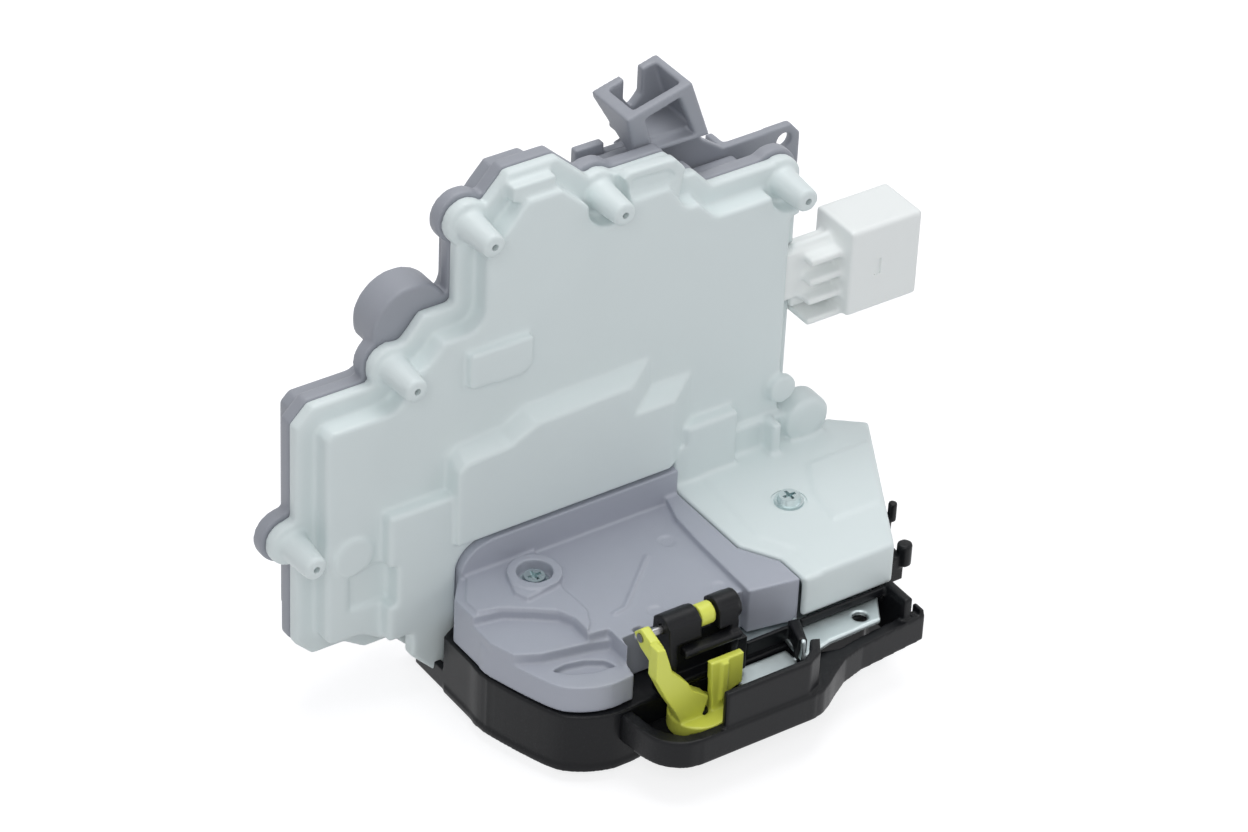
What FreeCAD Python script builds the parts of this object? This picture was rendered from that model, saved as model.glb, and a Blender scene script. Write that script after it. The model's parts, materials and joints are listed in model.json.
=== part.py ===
import FreeCAD, Part
import math
import os
from types import SimpleNamespace

import Sketcher

# Door latch actuator. Millimetres, +Z up. The latch stands on its steel face plate, whose outer
# face is at Z = 0 and faces -Z. The origin is midway between the two threaded holes of that plate.
# The flat actuator casing rises behind it: its front cover faces -Y and its rear housing faces +Y.

SIZES = {
    # casing levels along Y, and walls
    "split_y": 37.0,
    "rim_thick": 3.5,
    "cover_depth": 9.0,
    "cover_step": 5.5,
    "cover_wall": 1.8,
    "housing_lip": 1.0,
    "housing_flange": 4.0,
    "housing_depth": 12.0,
    "housing_wall": 1.6,
    "part_gap": 0.3,
    # casing outline
    "foot_z": 17.0,
    "shoulder_z": 92.0,
    "chamfer": 5.0,
    "elbow_x": -61.5,
    "elbow_z": 98.0,
    "flank_x": -53.0,
    "flank_z": 101.7,
    "ledge_x": -48.0,
    "ledge_z": 107.5,
    "neck_x": -39.5,
    "neck_z": 124.0,
    "crown_left": -24.8,
    "crown_z": 140.5,
    "crown_right": -11.0,
    "top_z": 130.5,
    "top_left": 0.0,
    "top_right": 22.0,
    "saddle_z": 122.8,
    "right_top_left": 35.5,
    "right_top_z": 117.4,
    "column_right": -43.5,
    "column_foot": 3.0,
    "heel_x": -56.0,
    "heel_z": 13.0,
    # screw posts
    "post_radius": 2.75,
    "post_bore": 1.35,
    "post_height": 11.5,
    "post_well": 4.4,
    "lobe_radius": 6.0,
    "post_one_x": -36.0,
    "post_one_z": 129.8,
    "post_two_x": 1.4,
    "post_two_z": 126.4,
    "post_three_z": 112.0,
    "post_four_x": -57.0,
    "post_four_z": 95.6,
    "post_five_z": 53.2,
    # raised blocks on the front face
    "block_front_y": 22.2,
    "block_left": -44.5,
    "block_low_z": 44.0,
    "block_step_z": 68.5,
    "block_knee_x": -29.4,
    "block_rise_x": -23.2,
    "block_top_z": 75.4,
    "block_tooth_x": 16.0,
    "block_tooth_z": 67.4,
    "block_right": 28.3,
    "block_slope": 2.4,
    "block_side_slope": 9.0,
    "window_left": -39.6,
    "window_right": -21.6,
    "window_low": 86.5,
    "window_high": 97.5,
    "window_rise": 2.6,
    "ridge_z": 44.0,
    "column_left": -63.0,
    "column_top": 58.5,
    "column_rise": 4.0,
    "recess_left": -72.0,
    "recess_right": -60.5,
    "recess_low": 31.0,
    "recess_high": 43.0,
    # roof over the latch
    "roof_z": 36.0,
    "roof_left": 22.0,
    "roof_front": -24.5,
    "roof_front_left": 28.0,
    "roof_front_right": 55.7,
    "roof_right": 81.5,
    "roof_right_y": 21.5,
    "roof_back_right": 73.0,
    "roof_back": 28.5,
    "roof_thick": 2.0,
    "roof_front_drop": 12.0,
    "roof_skirt_low": 22.0,
    "roof_screw_x": 43.4,
    "roof_screw_y": 4.0,
    # latch frame and its plates
    "face_thick": 2.5,
    "frame_top": 20.0,
    "frame_left": -49.5,
    "frame_front": -27.5,
    "frame_back": 33.2,
    "frame_right": 80.0,
    "frame_wall": 2.2,
    "plate_thick": 1.6,
    "plate_left": 9.0,
    "plate_front": -32.5,
    "bolt_spacing": 70.0,
    "bolt_radius": 2.5,
    "mouth_radius": 6.5,
    "mouth_end": -3.0,
    # grey cover of the latch
    "floor_z": 33.5,
    "floor_front": -17.5,
    "wall_top": 42.7,
    "border_left": 15.0,
    "border_rise": 2.0,
    "boss_x": -27.5,
    "boss_y": 13.2,
    "boss_rise": 2.6,
    "boss_radius": 7.0,
    "boss_hole": 4.6,
    # guard rail
    "rail_low": 11.0,
    "rail_high": 19.0,
    "rail_wall": 3.2,
    "nose_left": -27.5,
    "nose_front": -46.0,
    "nose_right": 19.0,
    "rail_front": -35.0,
    "rail_end": 59.5,
    "fin_rise": 5.5,
    # claw and pawl
    "claw_x": -19.0,
    "claw_y": -2.0,
    "claw_arm": 27.0,
    "claw_hook": 30.0,
    "claw_throat": 12.5,
    "claw_hub": 8.5,
    "claw_low": 5.0,
    "claw_thick": 6.0,
    "jacket_thick": 1.5,
    "claw_pin_radius": 4.0,
    "pin_fit": 0.06,
    "pawl_x": 17.0,
    "pawl_y": 14.0,
    "pawl_hub": 6.5,
    "pawl_pin_radius": 3.0,
    "spring_wire": 0.6,
    # screws
    "screw_shank": 1.6,
    "screw_head": 3.3,
    "screw_flange": 3.9,
    # actuator drives
    "motor_length": 24.0,
    "motor_height": 20.0,
    "motor_y": 37.9,
    "motor_gap": 0.7,
    "side_room": 13.0,
    "shaft_radius": 1.0,
    "tooth_pitch": 3.14,
    "wheel_teeth": 28.0,
    "wheel_radius": 14.0,
    "wheel_width": 5.0,
    "tooth_height": 1.6,
    "worm_core": 2.6,
    "worm_length": 14.0,
    "gear_slack": 0.25,
    "axle_radius": 2.0,
    "lock_wheel_x": -38.0,
    "lock_wheel_z": 78.0,
    "lock_motor_right": -52.0,
    "safe_wheel_x": 7.0,
    "safe_wheel_z": 76.0,
    "safe_motor_left": 25.0,
    "drive_pin": 1.2,
    "drive_pin_reach": 10.3,
    "drive_slack": 0.7,
    "lever_thick": 2.2,
    "lock_lever_x": -17.0,
    "lock_lever_z": 64.0,
    "lock_fork_angle": 146.31,
    "safe_lever_x": 36.0,
    "safe_lever_z": 62.0,
    "safe_fork_angle": 154.23,
    # outside handle coupling
    "coupling_x": -10.0,
    "coupling_y": -34.0,
    "coupling_radius": 7.6,
    "coupling_low": 13.1,
    "coupling_base": 4.5,
    "coupling_post": 2.5,
    "lever_axis_y": -28.0,
    "lever_axis_z": 41.5,
    "lever_pin": 1.2,
    # connector
    "plug_front": 23.0,
    "plug_back": 38.7,
    "plug_low": 71.0,
    "plug_high": 96.5,
    "plug_wall": 1.6,
    "plug_depth": 16.0,
    "neck_low": 77.0,
    "neck_high": 91.0,
    # cable bracket
    "bracket_left": 5.0,
    "bracket_low": 119.0,
    "bracket_foot": 126.5,
    "bracket_top": 143.6,
    "bracket_front": 41.4,
    "bracket_back": 57.4,
    "box_foot_left": 17.4,
    "box_foot_right": 39.6,
    "box_head_left": 14.4,
    "box_head_right": 33.4,
    "bracket_wall": 2.6,
    "arm_right": 72.0,
    "arm_top": 117.0,
    "arm_low": 101.0,
    "arm_hole": 2.2,
}

SWITCHES = [(42.0, 76.0), (-62.0, 78.0), (-10.0, 96.0)]


class Size:
    """A length with the sheet expression that it comes from."""

    def __init__(self, value, text):
        self.value = float(value)
        self.text = text

    def __add__(self, other):
        other = size_of(other)
        return Size(self.value + other.value, "(%s + %s)" % (self.text, other.text))

    def __radd__(self, other):
        return size_of(other) + self

    def __sub__(self, other):
        other = size_of(other)
        return Size(self.value - other.value, "(%s - %s)" % (self.text, other.text))

    def __rsub__(self, other):
        return size_of(other) - self

    def __mul__(self, other):
        other = size_of(other)
        return Size(self.value * other.value, "(%s * %s)" % (self.text, other.text))

    def __rmul__(self, other):
        return size_of(other) * self

    def __truediv__(self, other):
        other = size_of(other)
        return Size(self.value / other.value, "(%s / %s)" % (self.text, other.text))

    def __neg__(self):
        return Size(-self.value, "(-1 * %s)" % self.text)


def size_of(number):
    """Give a plain number as a Size, and a Size as it is."""
    if isinstance(number, Size):
        return number
    return Size(number, "%.6f" % number)


def cosine(angle):
    angle = size_of(angle)
    return Size(math.cos(math.radians(angle.value)), "cos(%s)" % angle.text)


def sine(angle):
    angle = size_of(angle)
    return Size(math.sin(math.radians(angle.value)), "sin(%s)" % angle.text)


doc = FreeCAD.newDocument("door_latch_actuator")
sheet = doc.addObject("Spreadsheet::Sheet", "Sizes")
for row, (alias, number) in enumerate(SIZES.items(), start=1):
    sheet.set("A%d" % row, alias)
    sheet.set("B%d" % row, str(number))
    sheet.setAlias("B%d" % row, alias)
doc.recompute()
size = SimpleNamespace(**{alias: Size(number, "Sizes." + alias) for alias, number in SIZES.items()})

# The casing closes round both motors, so its two sides follow their length.
left_wall = size.cover_step + size.cover_wall
size.panel_left = size.lock_motor_right - size.motor_length - size.motor_gap - left_wall
size.panel_right = size.safe_motor_left + size.motor_length + size.side_room
size.right_top_right = size.panel_right - 7.0
size.post_three_x = size.panel_right - 5.2
size.post_five_x = size.panel_left - 0.9
size.plug_left = size.panel_right + 10.5
size.plug_right = size.panel_right + 32.8

parts = []


def bind(thing, path, length):
    """Tie one property of a document object to the sheet."""
    length = size_of(length)
    thing.setExpression(path, length.text)


def new_part(name, at=None):
    """Start a body whose label is the sub-part's name, placed at a bound point."""
    body = doc.addObject("PartDesign::Body", name)
    body.Label = name
    if at is not None:
        for axis, value in zip("xyz", at):
            bind(body, "Placement.Base." + axis, value)
    parts.append(body)
    return body


def origin_plane(body, role):
    for feature in body.Origin.OriginFeatures:
        if feature.Role == role:
            return feature
    raise ValueError("no origin plane " + role)


def new_sketch(body, name, role, level):
    """Attach a sketch to an origin plane of its body, at a level along that plane's global axis."""
    sketch = body.newObject("Sketcher::SketchObject", name)
    sketch.AttachmentSupport = [(origin_plane(body, role), "")]
    sketch.MapMode = "FlatFace"
    # The XZ plane's normal is -Y, so its level is counted the other way.
    bind(sketch, "AttachmentOffset.Base.z", -size_of(level) if role == "XZ_Plane" else level)
    return sketch


def add_bound(sketch, items):
    """Add constraints in one go, each with the sheet expression of its size, where it has one."""
    indices = sketch.addConstraint([constraint for constraint, length in items])
    for index, (constraint, length) in zip(indices, items):
        if length is not None:
            sketch.setExpression("Constraints[%d]" % index, length.text)


def at_point(curve, vertex, x, y):
    """Hold a sketch point at bound distances from the sketch origin."""
    return [
        (Sketcher.Constraint("DistanceX", -1, 1, curve, vertex, x.value), x),
        (Sketcher.Constraint("DistanceY", -1, 1, curve, vertex, y.value), y),
    ]


def add_outline(sketch, points):
    """Draw a closed outline through bound corner points."""
    first = sketch.GeometryCount
    corners = [(size_of(x), size_of(y)) for x, y in points]
    vectors = [FreeCAD.Vector(x.value, y.value, 0) for x, y in corners]
    count = len(corners)
    lines = [Part.LineSegment(vectors[index], vectors[(index + 1) % count]) for index in range(count)]
    sketch.addGeometry(lines, False)
    items = []
    for index, (x, y) in enumerate(corners):
        after = first + (index + 1) % count
        items.append((Sketcher.Constraint("Coincident", first + index, 2, after, 1), None))
        items += at_point(first + index, 1, x, y)
    add_bound(sketch, items)


def add_circle(sketch, x, y, radius):
    """Draw a circle with a bound centre and radius."""
    x, y, radius = size_of(x), size_of(y), size_of(radius)
    centre = FreeCAD.Vector(x.value, y.value, 0)
    curve = sketch.addGeometry(Part.Circle(centre, FreeCAD.Vector(0, 0, 1), radius.value), False)
    items = at_point(curve, 3, x, y)
    items.append((Sketcher.Constraint("Radius", curve, radius.value), radius))
    add_bound(sketch, items)


def extrude(body, kind, name, profile, length, backwards):
    feature = body.newObject(kind, name)
    feature.Profile = profile
    feature.Reversed = backwards
    bind(feature, "Length", length)
    feature.Refine = False
    profile.Visibility = False
    return feature


def pad(body, name, profile, length, backwards=False):
    return extrude(body, "PartDesign::Pad", name, profile, length, backwards)


def pocket(body, name, profile, depth, backwards=False):
    return extrude(body, "PartDesign::Pocket", name, profile, depth, backwards)


def slab(body, name, role, low, high, points=(), circles=(), more=()):
    """Pad an outline from one level to another along the plane's global axis."""
    start = high if role == "XZ_Plane" else low
    sketch = new_sketch(body, name + "_sketch", role, start)
    for outline in ([points] if points else []) + list(more):
        add_outline(sketch, outline)
    for x, y, radius in circles:
        add_circle(sketch, x, y, radius)
    return pad(body, name, sketch, size_of(high) - low)


def cut(body, name, role, low, high, points=(), circles=(), more=()):
    """Pocket an outline between two levels along the plane's global axis."""
    start = low if role == "XZ_Plane" else high
    sketch = new_sketch(body, name + "_sketch", role, start)
    for outline in ([points] if points else []) + list(more):
        add_outline(sketch, outline)
    for x, y, radius in circles:
        add_circle(sketch, x, y, radius)
    return pocket(body, name, sketch, size_of(high) - low)


def inset(body, name, sketch, distance):
    """Make a copy of a sketch's outline, moved inwards by a bound distance."""
    copy = body.newObject("PartDesign::SubShapeBinder", name)
    copy.Support = [(sketch, ("",))]
    copy.MakeFace = True
    bind(copy, "Offset", -size_of(distance))
    copy.Visibility = False
    return copy


def box_points(left, right, low, high):
    return [(left, low), (right, low), (right, high), (left, high)]


def posts():
    """The five screw posts, as their centres in the XZ plane."""
    names = ("one", "two", "three", "four", "five")
    return [(getattr(size, "post_%s_x" % n), getattr(size, "post_%s_z" % n)) for n in names]


def casing_outline():
    """The outline that the front cover's rim and the rear housing share."""
    return [
        (size.panel_left + size.chamfer, size.foot_z),
        (size.panel_left, size.foot_z + size.chamfer),
        (size.panel_left, size.shoulder_z - size.chamfer),
        (size.panel_left + size.chamfer, size.shoulder_z),
        (size.elbow_x, size.shoulder_z),
        (size.elbow_x, size.elbow_z),
        (size.flank_x, size.flank_z),
        (size.ledge_x, size.ledge_z),
        (size.neck_x, size.ledge_z),
        (size.neck_x, size.neck_z),
        (size.crown_left, size.crown_z),
        (size.crown_right, size.crown_z),
        (size.top_left, size.top_z),
        (size.top_right, size.top_z),
        (size.top_right + size.chamfer, size.saddle_z),
        (size.right_top_left - size.chamfer, size.saddle_z),
        (size.right_top_left, size.right_top_z),
        (size.right_top_right, size.right_top_z),
        (size.panel_right, size.post_three_z),
        (size.panel_right, size.roof_z),
        (size.roof_left, size.roof_z),
        (size.roof_left, size.wall_top + size.part_gap),
        (size.column_right, size.wall_top + size.part_gap),
        (size.column_right, size.column_foot),
        (size.column_right - 3.0, size.column_foot),
        (size.heel_x, size.heel_z),
        (size.heel_x - 8.0, size.heel_z),
        (size.heel_x - 14.0, size.foot_z),
    ]


def build_front_cover():
    body = new_part("front_cover")
    front = size.split_y - size.cover_depth
    rim_front = size.split_y - size.rim_thick
    outline = new_sketch(body, "rim_sketch", "XZ_Plane", size.split_y)
    add_outline(outline, casing_outline())
    pad(body, "rim", outline, size.rim_thick)
    lobes = [(x, z, size.lobe_radius) for x, z in posts()]
    slab(body, "rim_lobes", "XZ_Plane", rim_front, size.split_y, circles=lobes)
    raised = inset(body, "raised_outline", outline, size.cover_step)
    pad(body, "raised_body", raised, size.cover_depth, True)
    # The column that runs down the left side of the latch.
    column = [
        (size.column_left, size.frame_top + size.part_gap),
        (size.column_right, size.frame_top + size.part_gap),
        (size.column_right, size.column_top),
        (size.column_left, size.column_top),
    ]
    slab(body, "column", "XZ_Plane", front - size.column_rise, rim_front, column)
    toe = [
        (size.heel_x, size.frame_top + size.part_gap),
        (size.heel_x, size.heel_z),
        (size.column_right - 3.0, size.column_foot),
        (size.column_right, size.column_foot),
        (size.column_right, size.frame_top + size.part_gap),
    ]
    slab(body, "toe", "XZ_Plane", front - size.column_rise, front, toe)
    hollow = inset(body, "hollow_outline", outline, size.cover_step + size.cover_wall)
    pocket(body, "hollow", hollow, size.cover_depth - size.cover_wall)
    recess = box_points(size.recess_left, size.recess_right, size.recess_low, size.recess_high)
    cut(body, "recess", "XZ_Plane", front - size.column_rise, front + 1.2, recess)
    # The roof over the latch, with a skirt round its sides and back.
    roof = [
        (size.roof_left, size.roof_back),
        (size.roof_left, 15.0),
        (size.roof_left, -4.0),
        (size.roof_front_left, -14.0),
        (size.roof_front_left, size.roof_front),
        (size.roof_front_right, size.roof_front),
        (size.roof_right, size.roof_right_y),
        (size.roof_back_right, size.roof_back),
    ]
    roof_sketch = new_sketch(body, "roof_sketch", "XY_Plane", size.roof_skirt_low)
    add_outline(roof_sketch, roof)
    pad(body, "roof", roof_sketch, size.roof_z - size.roof_skirt_low)
    under = inset(body, "roof_inside", roof_sketch, size.roof_thick)
    pocket(body, "roof_hollow", under, size.roof_z - size.roof_skirt_low - size.roof_thick, True)
    front_gap = box_points(size.roof_left - 1.0, size.roof_right, size.roof_front - 1.0, size.roof_front + 8.0)
    cut(body, "roof_front_gap", "XY_Plane", size.roof_skirt_low, size.roof_z - size.roof_front_drop, front_gap)
    skirt_back = size.roof_front + size.roof_thick
    left_gap = box_points(size.roof_left - 1.0, size.roof_front_left + 2.5, skirt_back, size.roof_back + 4.0)
    cut(body, "roof_left_gap", "XY_Plane", size.roof_skirt_low, size.roof_z - size.roof_thick, left_gap)
    boss = [(size.roof_screw_x, size.roof_screw_y, 5.0)]
    slab(body, "roof_boss", "XY_Plane", size.roof_skirt_low, size.roof_z, circles=boss)
    hole = [(size.roof_screw_x, size.roof_screw_y, 1.9)]
    cut(body, "roof_hole", "XY_Plane", size.roof_skirt_low - 1.0, size.roof_z + 1.0, circles=hole)
    # The stiffening forms where the roof meets the front face.
    ridge = box_points(size.roof_left + 6.0, size.panel_right, size.ridge_z - 1.0, size.ridge_z + 1.0)
    slab(body, "ridge", "XZ_Plane", front - 1.6, front, ridge)
    corner = box_points(25.5, 41.0, size.roof_z, size.ridge_z + 9.0)
    slab(body, "corner_box", "XZ_Plane", front - 4.0, front, corner)
    fin = box_points(size.panel_right - 11.0, size.panel_right - 8.4, size.roof_z, size.ridge_z + 1.3)
    slab(body, "corner_fin", "XZ_Plane", front - 6.0, front, fin)
    round_tab = [(size.panel_right + 1.8, size.ridge_z - 1.6, 4.9)]
    slab(body, "round_tab", "XZ_Plane", front - 4.5, front, circles=round_tab)
    half_tab = [(size.panel_right - 6.0, size.ridge_z + 9.0, 4.0)]
    slab(body, "half_tab", "XZ_Plane", front - 2.6, front, circles=half_tab)
    arch = arch_corner(9.3, size.column_right - 1.0)
    slab(body, "arch", "XZ_Plane", front - size.column_rise, rim_front, arch)
    slab(body, "left_disc", "XZ_Plane", front - 0.9, front, circles=[(-71.0, 47.8, 5.5)])
    # The raised blocks of the face.
    window = [
        (size.window_left, size.window_low + 1.0),
        (size.window_left, size.window_high),
        (size.window_right, size.window_high),
        (size.window_right, size.window_low + 2.5),
        (size.window_right - 2.8, size.window_low),
    ]
    slab(body, "window_block", "XZ_Plane", front - size.window_rise, front, window)
    raised_block(body, front)
    post_walls(body, front, rim_front)
    wells = [(x, z, size.post_well) for x, z in posts()[:3]]
    cut(body, "post_wells", "XZ_Plane", front - 1.0, rim_front, circles=wells)
    top = rim_front - size.post_height
    columns = [(x, z, size.post_radius) for x, z in posts()]
    slab(body, "posts", "XZ_Plane", top, rim_front, circles=columns)
    tab = [(5.6, 118.0), (5.6, 130.4), (8.0, 132.0), (21.4, 131.6), (24.6, 128.0), (22.6, 118.0)]
    crown_box = box_points(-26.0, -13.5, size.crown_z - 6.5, size.crown_z - 2.0)
    slab(body, "top_tab", "XZ_Plane", rim_front - 3.5, rim_front, more=[tab, crown_box])
    tab_recess = [(8.6, 126.4), (8.6, 129.6), (19.6, 129.2), (21.6, 127.0), (21.4, 126.0)]
    cut(body, "tab_recess", "XZ_Plane", rim_front - 4.0, rim_front - 2.3, tab_recess)
    bores = [(x, z, size.post_bore) for x, z in posts()]
    cut(body, "post_bores", "XZ_Plane", top + 1.5, size.split_y, circles=bores)
    # The window in the right wall that takes the connector's neck.
    neck = box_points(size.panel_right - 8.0, size.panel_right + 1.0, size.neck_low - 0.3, size.neck_high + 0.3)
    cut(body, "neck_window", "XZ_Plane", front + size.cover_wall, size.split_y, neck)
    return body


def arch_corner(radius, left):
    """The corner outside the arc in which the latch cover's back wall ends at its upper left."""
    x, z = size.column_right + 9.0, size.wall_top - 9.2
    top = size.wall_top + 0.6
    arc = arc_points(radius, 180.0, 90.0, 6, x, z)
    return [(left, z)] + arc + [(x, top), (left, top)]


def post_walls(body, low, high):
    """Thicken a shell beside the two posts that its hollow would otherwise break into."""
    walls = []
    for x, z in ((size.post_two_x, size.post_two_z), (size.post_three_x - 4.0, size.post_three_z)):
        walls.append(box_points(x - 6.4, x + 6.4, z - 8.0, z))
    slab(body, "post_walls", "XZ_Plane", low, high, more=walls)


def raised_block(body, front):
    """Loft the stepped block on the front face between its foot and its smaller top."""
    slope, side = size.block_slope, size.block_side_slope
    foot = [
        (size.block_left, size.block_low_z),
        (size.block_left, size.block_step_z),
        (size.block_left + 2.2, size.block_step_z + 2.2),
        (size.block_knee_x, size.block_step_z + 3.0),
        (size.block_rise_x, size.block_top_z),
        (size.block_tooth_x - 1.0, size.block_top_z + 1.0),
        (size.block_tooth_x, size.block_tooth_z),
        (size.block_right, size.block_tooth_z),
        (size.block_right, size.block_low_z),
    ]
    top = [
        (size.block_left, size.block_low_z),
        (size.block_left, size.block_step_z - slope),
        (size.block_left + 2.2, size.block_step_z + 2.2 - slope),
        (size.block_knee_x, size.block_step_z + 3.0 - slope),
        (size.block_rise_x + 1.5, size.block_top_z - slope),
        (size.block_tooth_x - 1.0 - side, size.block_top_z + 1.0 - slope),
        (size.block_tooth_x - side, size.block_tooth_z - slope),
        (size.block_right - side, size.block_tooth_z - slope),
        (size.block_right - side, size.block_low_z),
    ]
    foot_sketch = new_sketch(body, "block_foot", "XZ_Plane", front)
    add_outline(foot_sketch, foot)
    top_sketch = new_sketch(body, "block_top", "XZ_Plane", size.block_front_y)
    add_outline(top_sketch, top)
    loft = body.newObject("PartDesign::AdditiveLoft", "face_block")
    loft.Profile = foot_sketch
    loft.Sections = [(top_sketch, [""])]
    loft.Ruled = True
    return loft


def build_rear_housing():
    body = new_part("rear_housing")
    back = size.split_y + size.housing_depth
    flange_back = size.split_y + size.housing_flange
    low = size.split_y
    outline = new_sketch(body, "flange_sketch", "XZ_Plane", flange_back)
    add_outline(outline, casing_outline())
    pad(body, "flange", outline, size.housing_flange)
    lobes = [(x, z, size.lobe_radius + size.housing_lip) for x, z in posts()]
    slab(body, "flange_lobes", "XZ_Plane", low, flange_back, circles=lobes)
    raised = inset(body, "raised_outline", outline, size.cover_step - size.housing_lip)
    pad(body, "raised_back", raised, size.housing_depth - size.housing_flange)
    # The bulge that clears the drive at the upper left.
    bulge = [(size.elbow_x + 12.0, size.ledge_z - 4.0, 11.0)]
    slab(body, "drive_bulge", "XZ_Plane", low, back - 2.0, circles=bulge)
    hollow = inset(body, "hollow_outline", outline, size.cover_step + size.cover_wall)
    pocket(body, "hollow", hollow, size.housing_depth - size.housing_wall - size.housing_flange, True)
    pocket(body, "hollow_front", hollow, size.housing_flange + 1.0)
    rebate_sketch = new_sketch(body, "rebate_sketch", "XZ_Plane", low + 1.2)
    add_outline(rebate_sketch, casing_outline())
    rebate = inset(body, "rebate_outline", rebate_sketch, size.cover_step + 0.3)
    pocket(body, "rebate", rebate, 2.0)
    post_walls(body, low + 1.5, back)
    ribs = []
    for left, z in motor_places():
        for along in (4.0, size.motor_length - 6.0):
            ribs.append(box_points(left + along, left + along + 2.0, z - 6.0, z + 6.0))
    rib_front = size.motor_y + size.motor_height / 2 * cosine(45.0) + 0.05
    slab(body, "motor_ribs", "XZ_Plane", rib_front, back - 0.5, more=ribs)
    wells = [(x, z, size.post_well) for x, z in posts()]
    cut(body, "head_wells", "XZ_Plane", flange_back, back + 5.0, circles=wells)
    holes = [(x, z, 1.7) for x, z in posts()]
    cut(body, "screw_holes", "XZ_Plane", low - 1.0, back + 1.0, circles=holes)
    return body


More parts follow.
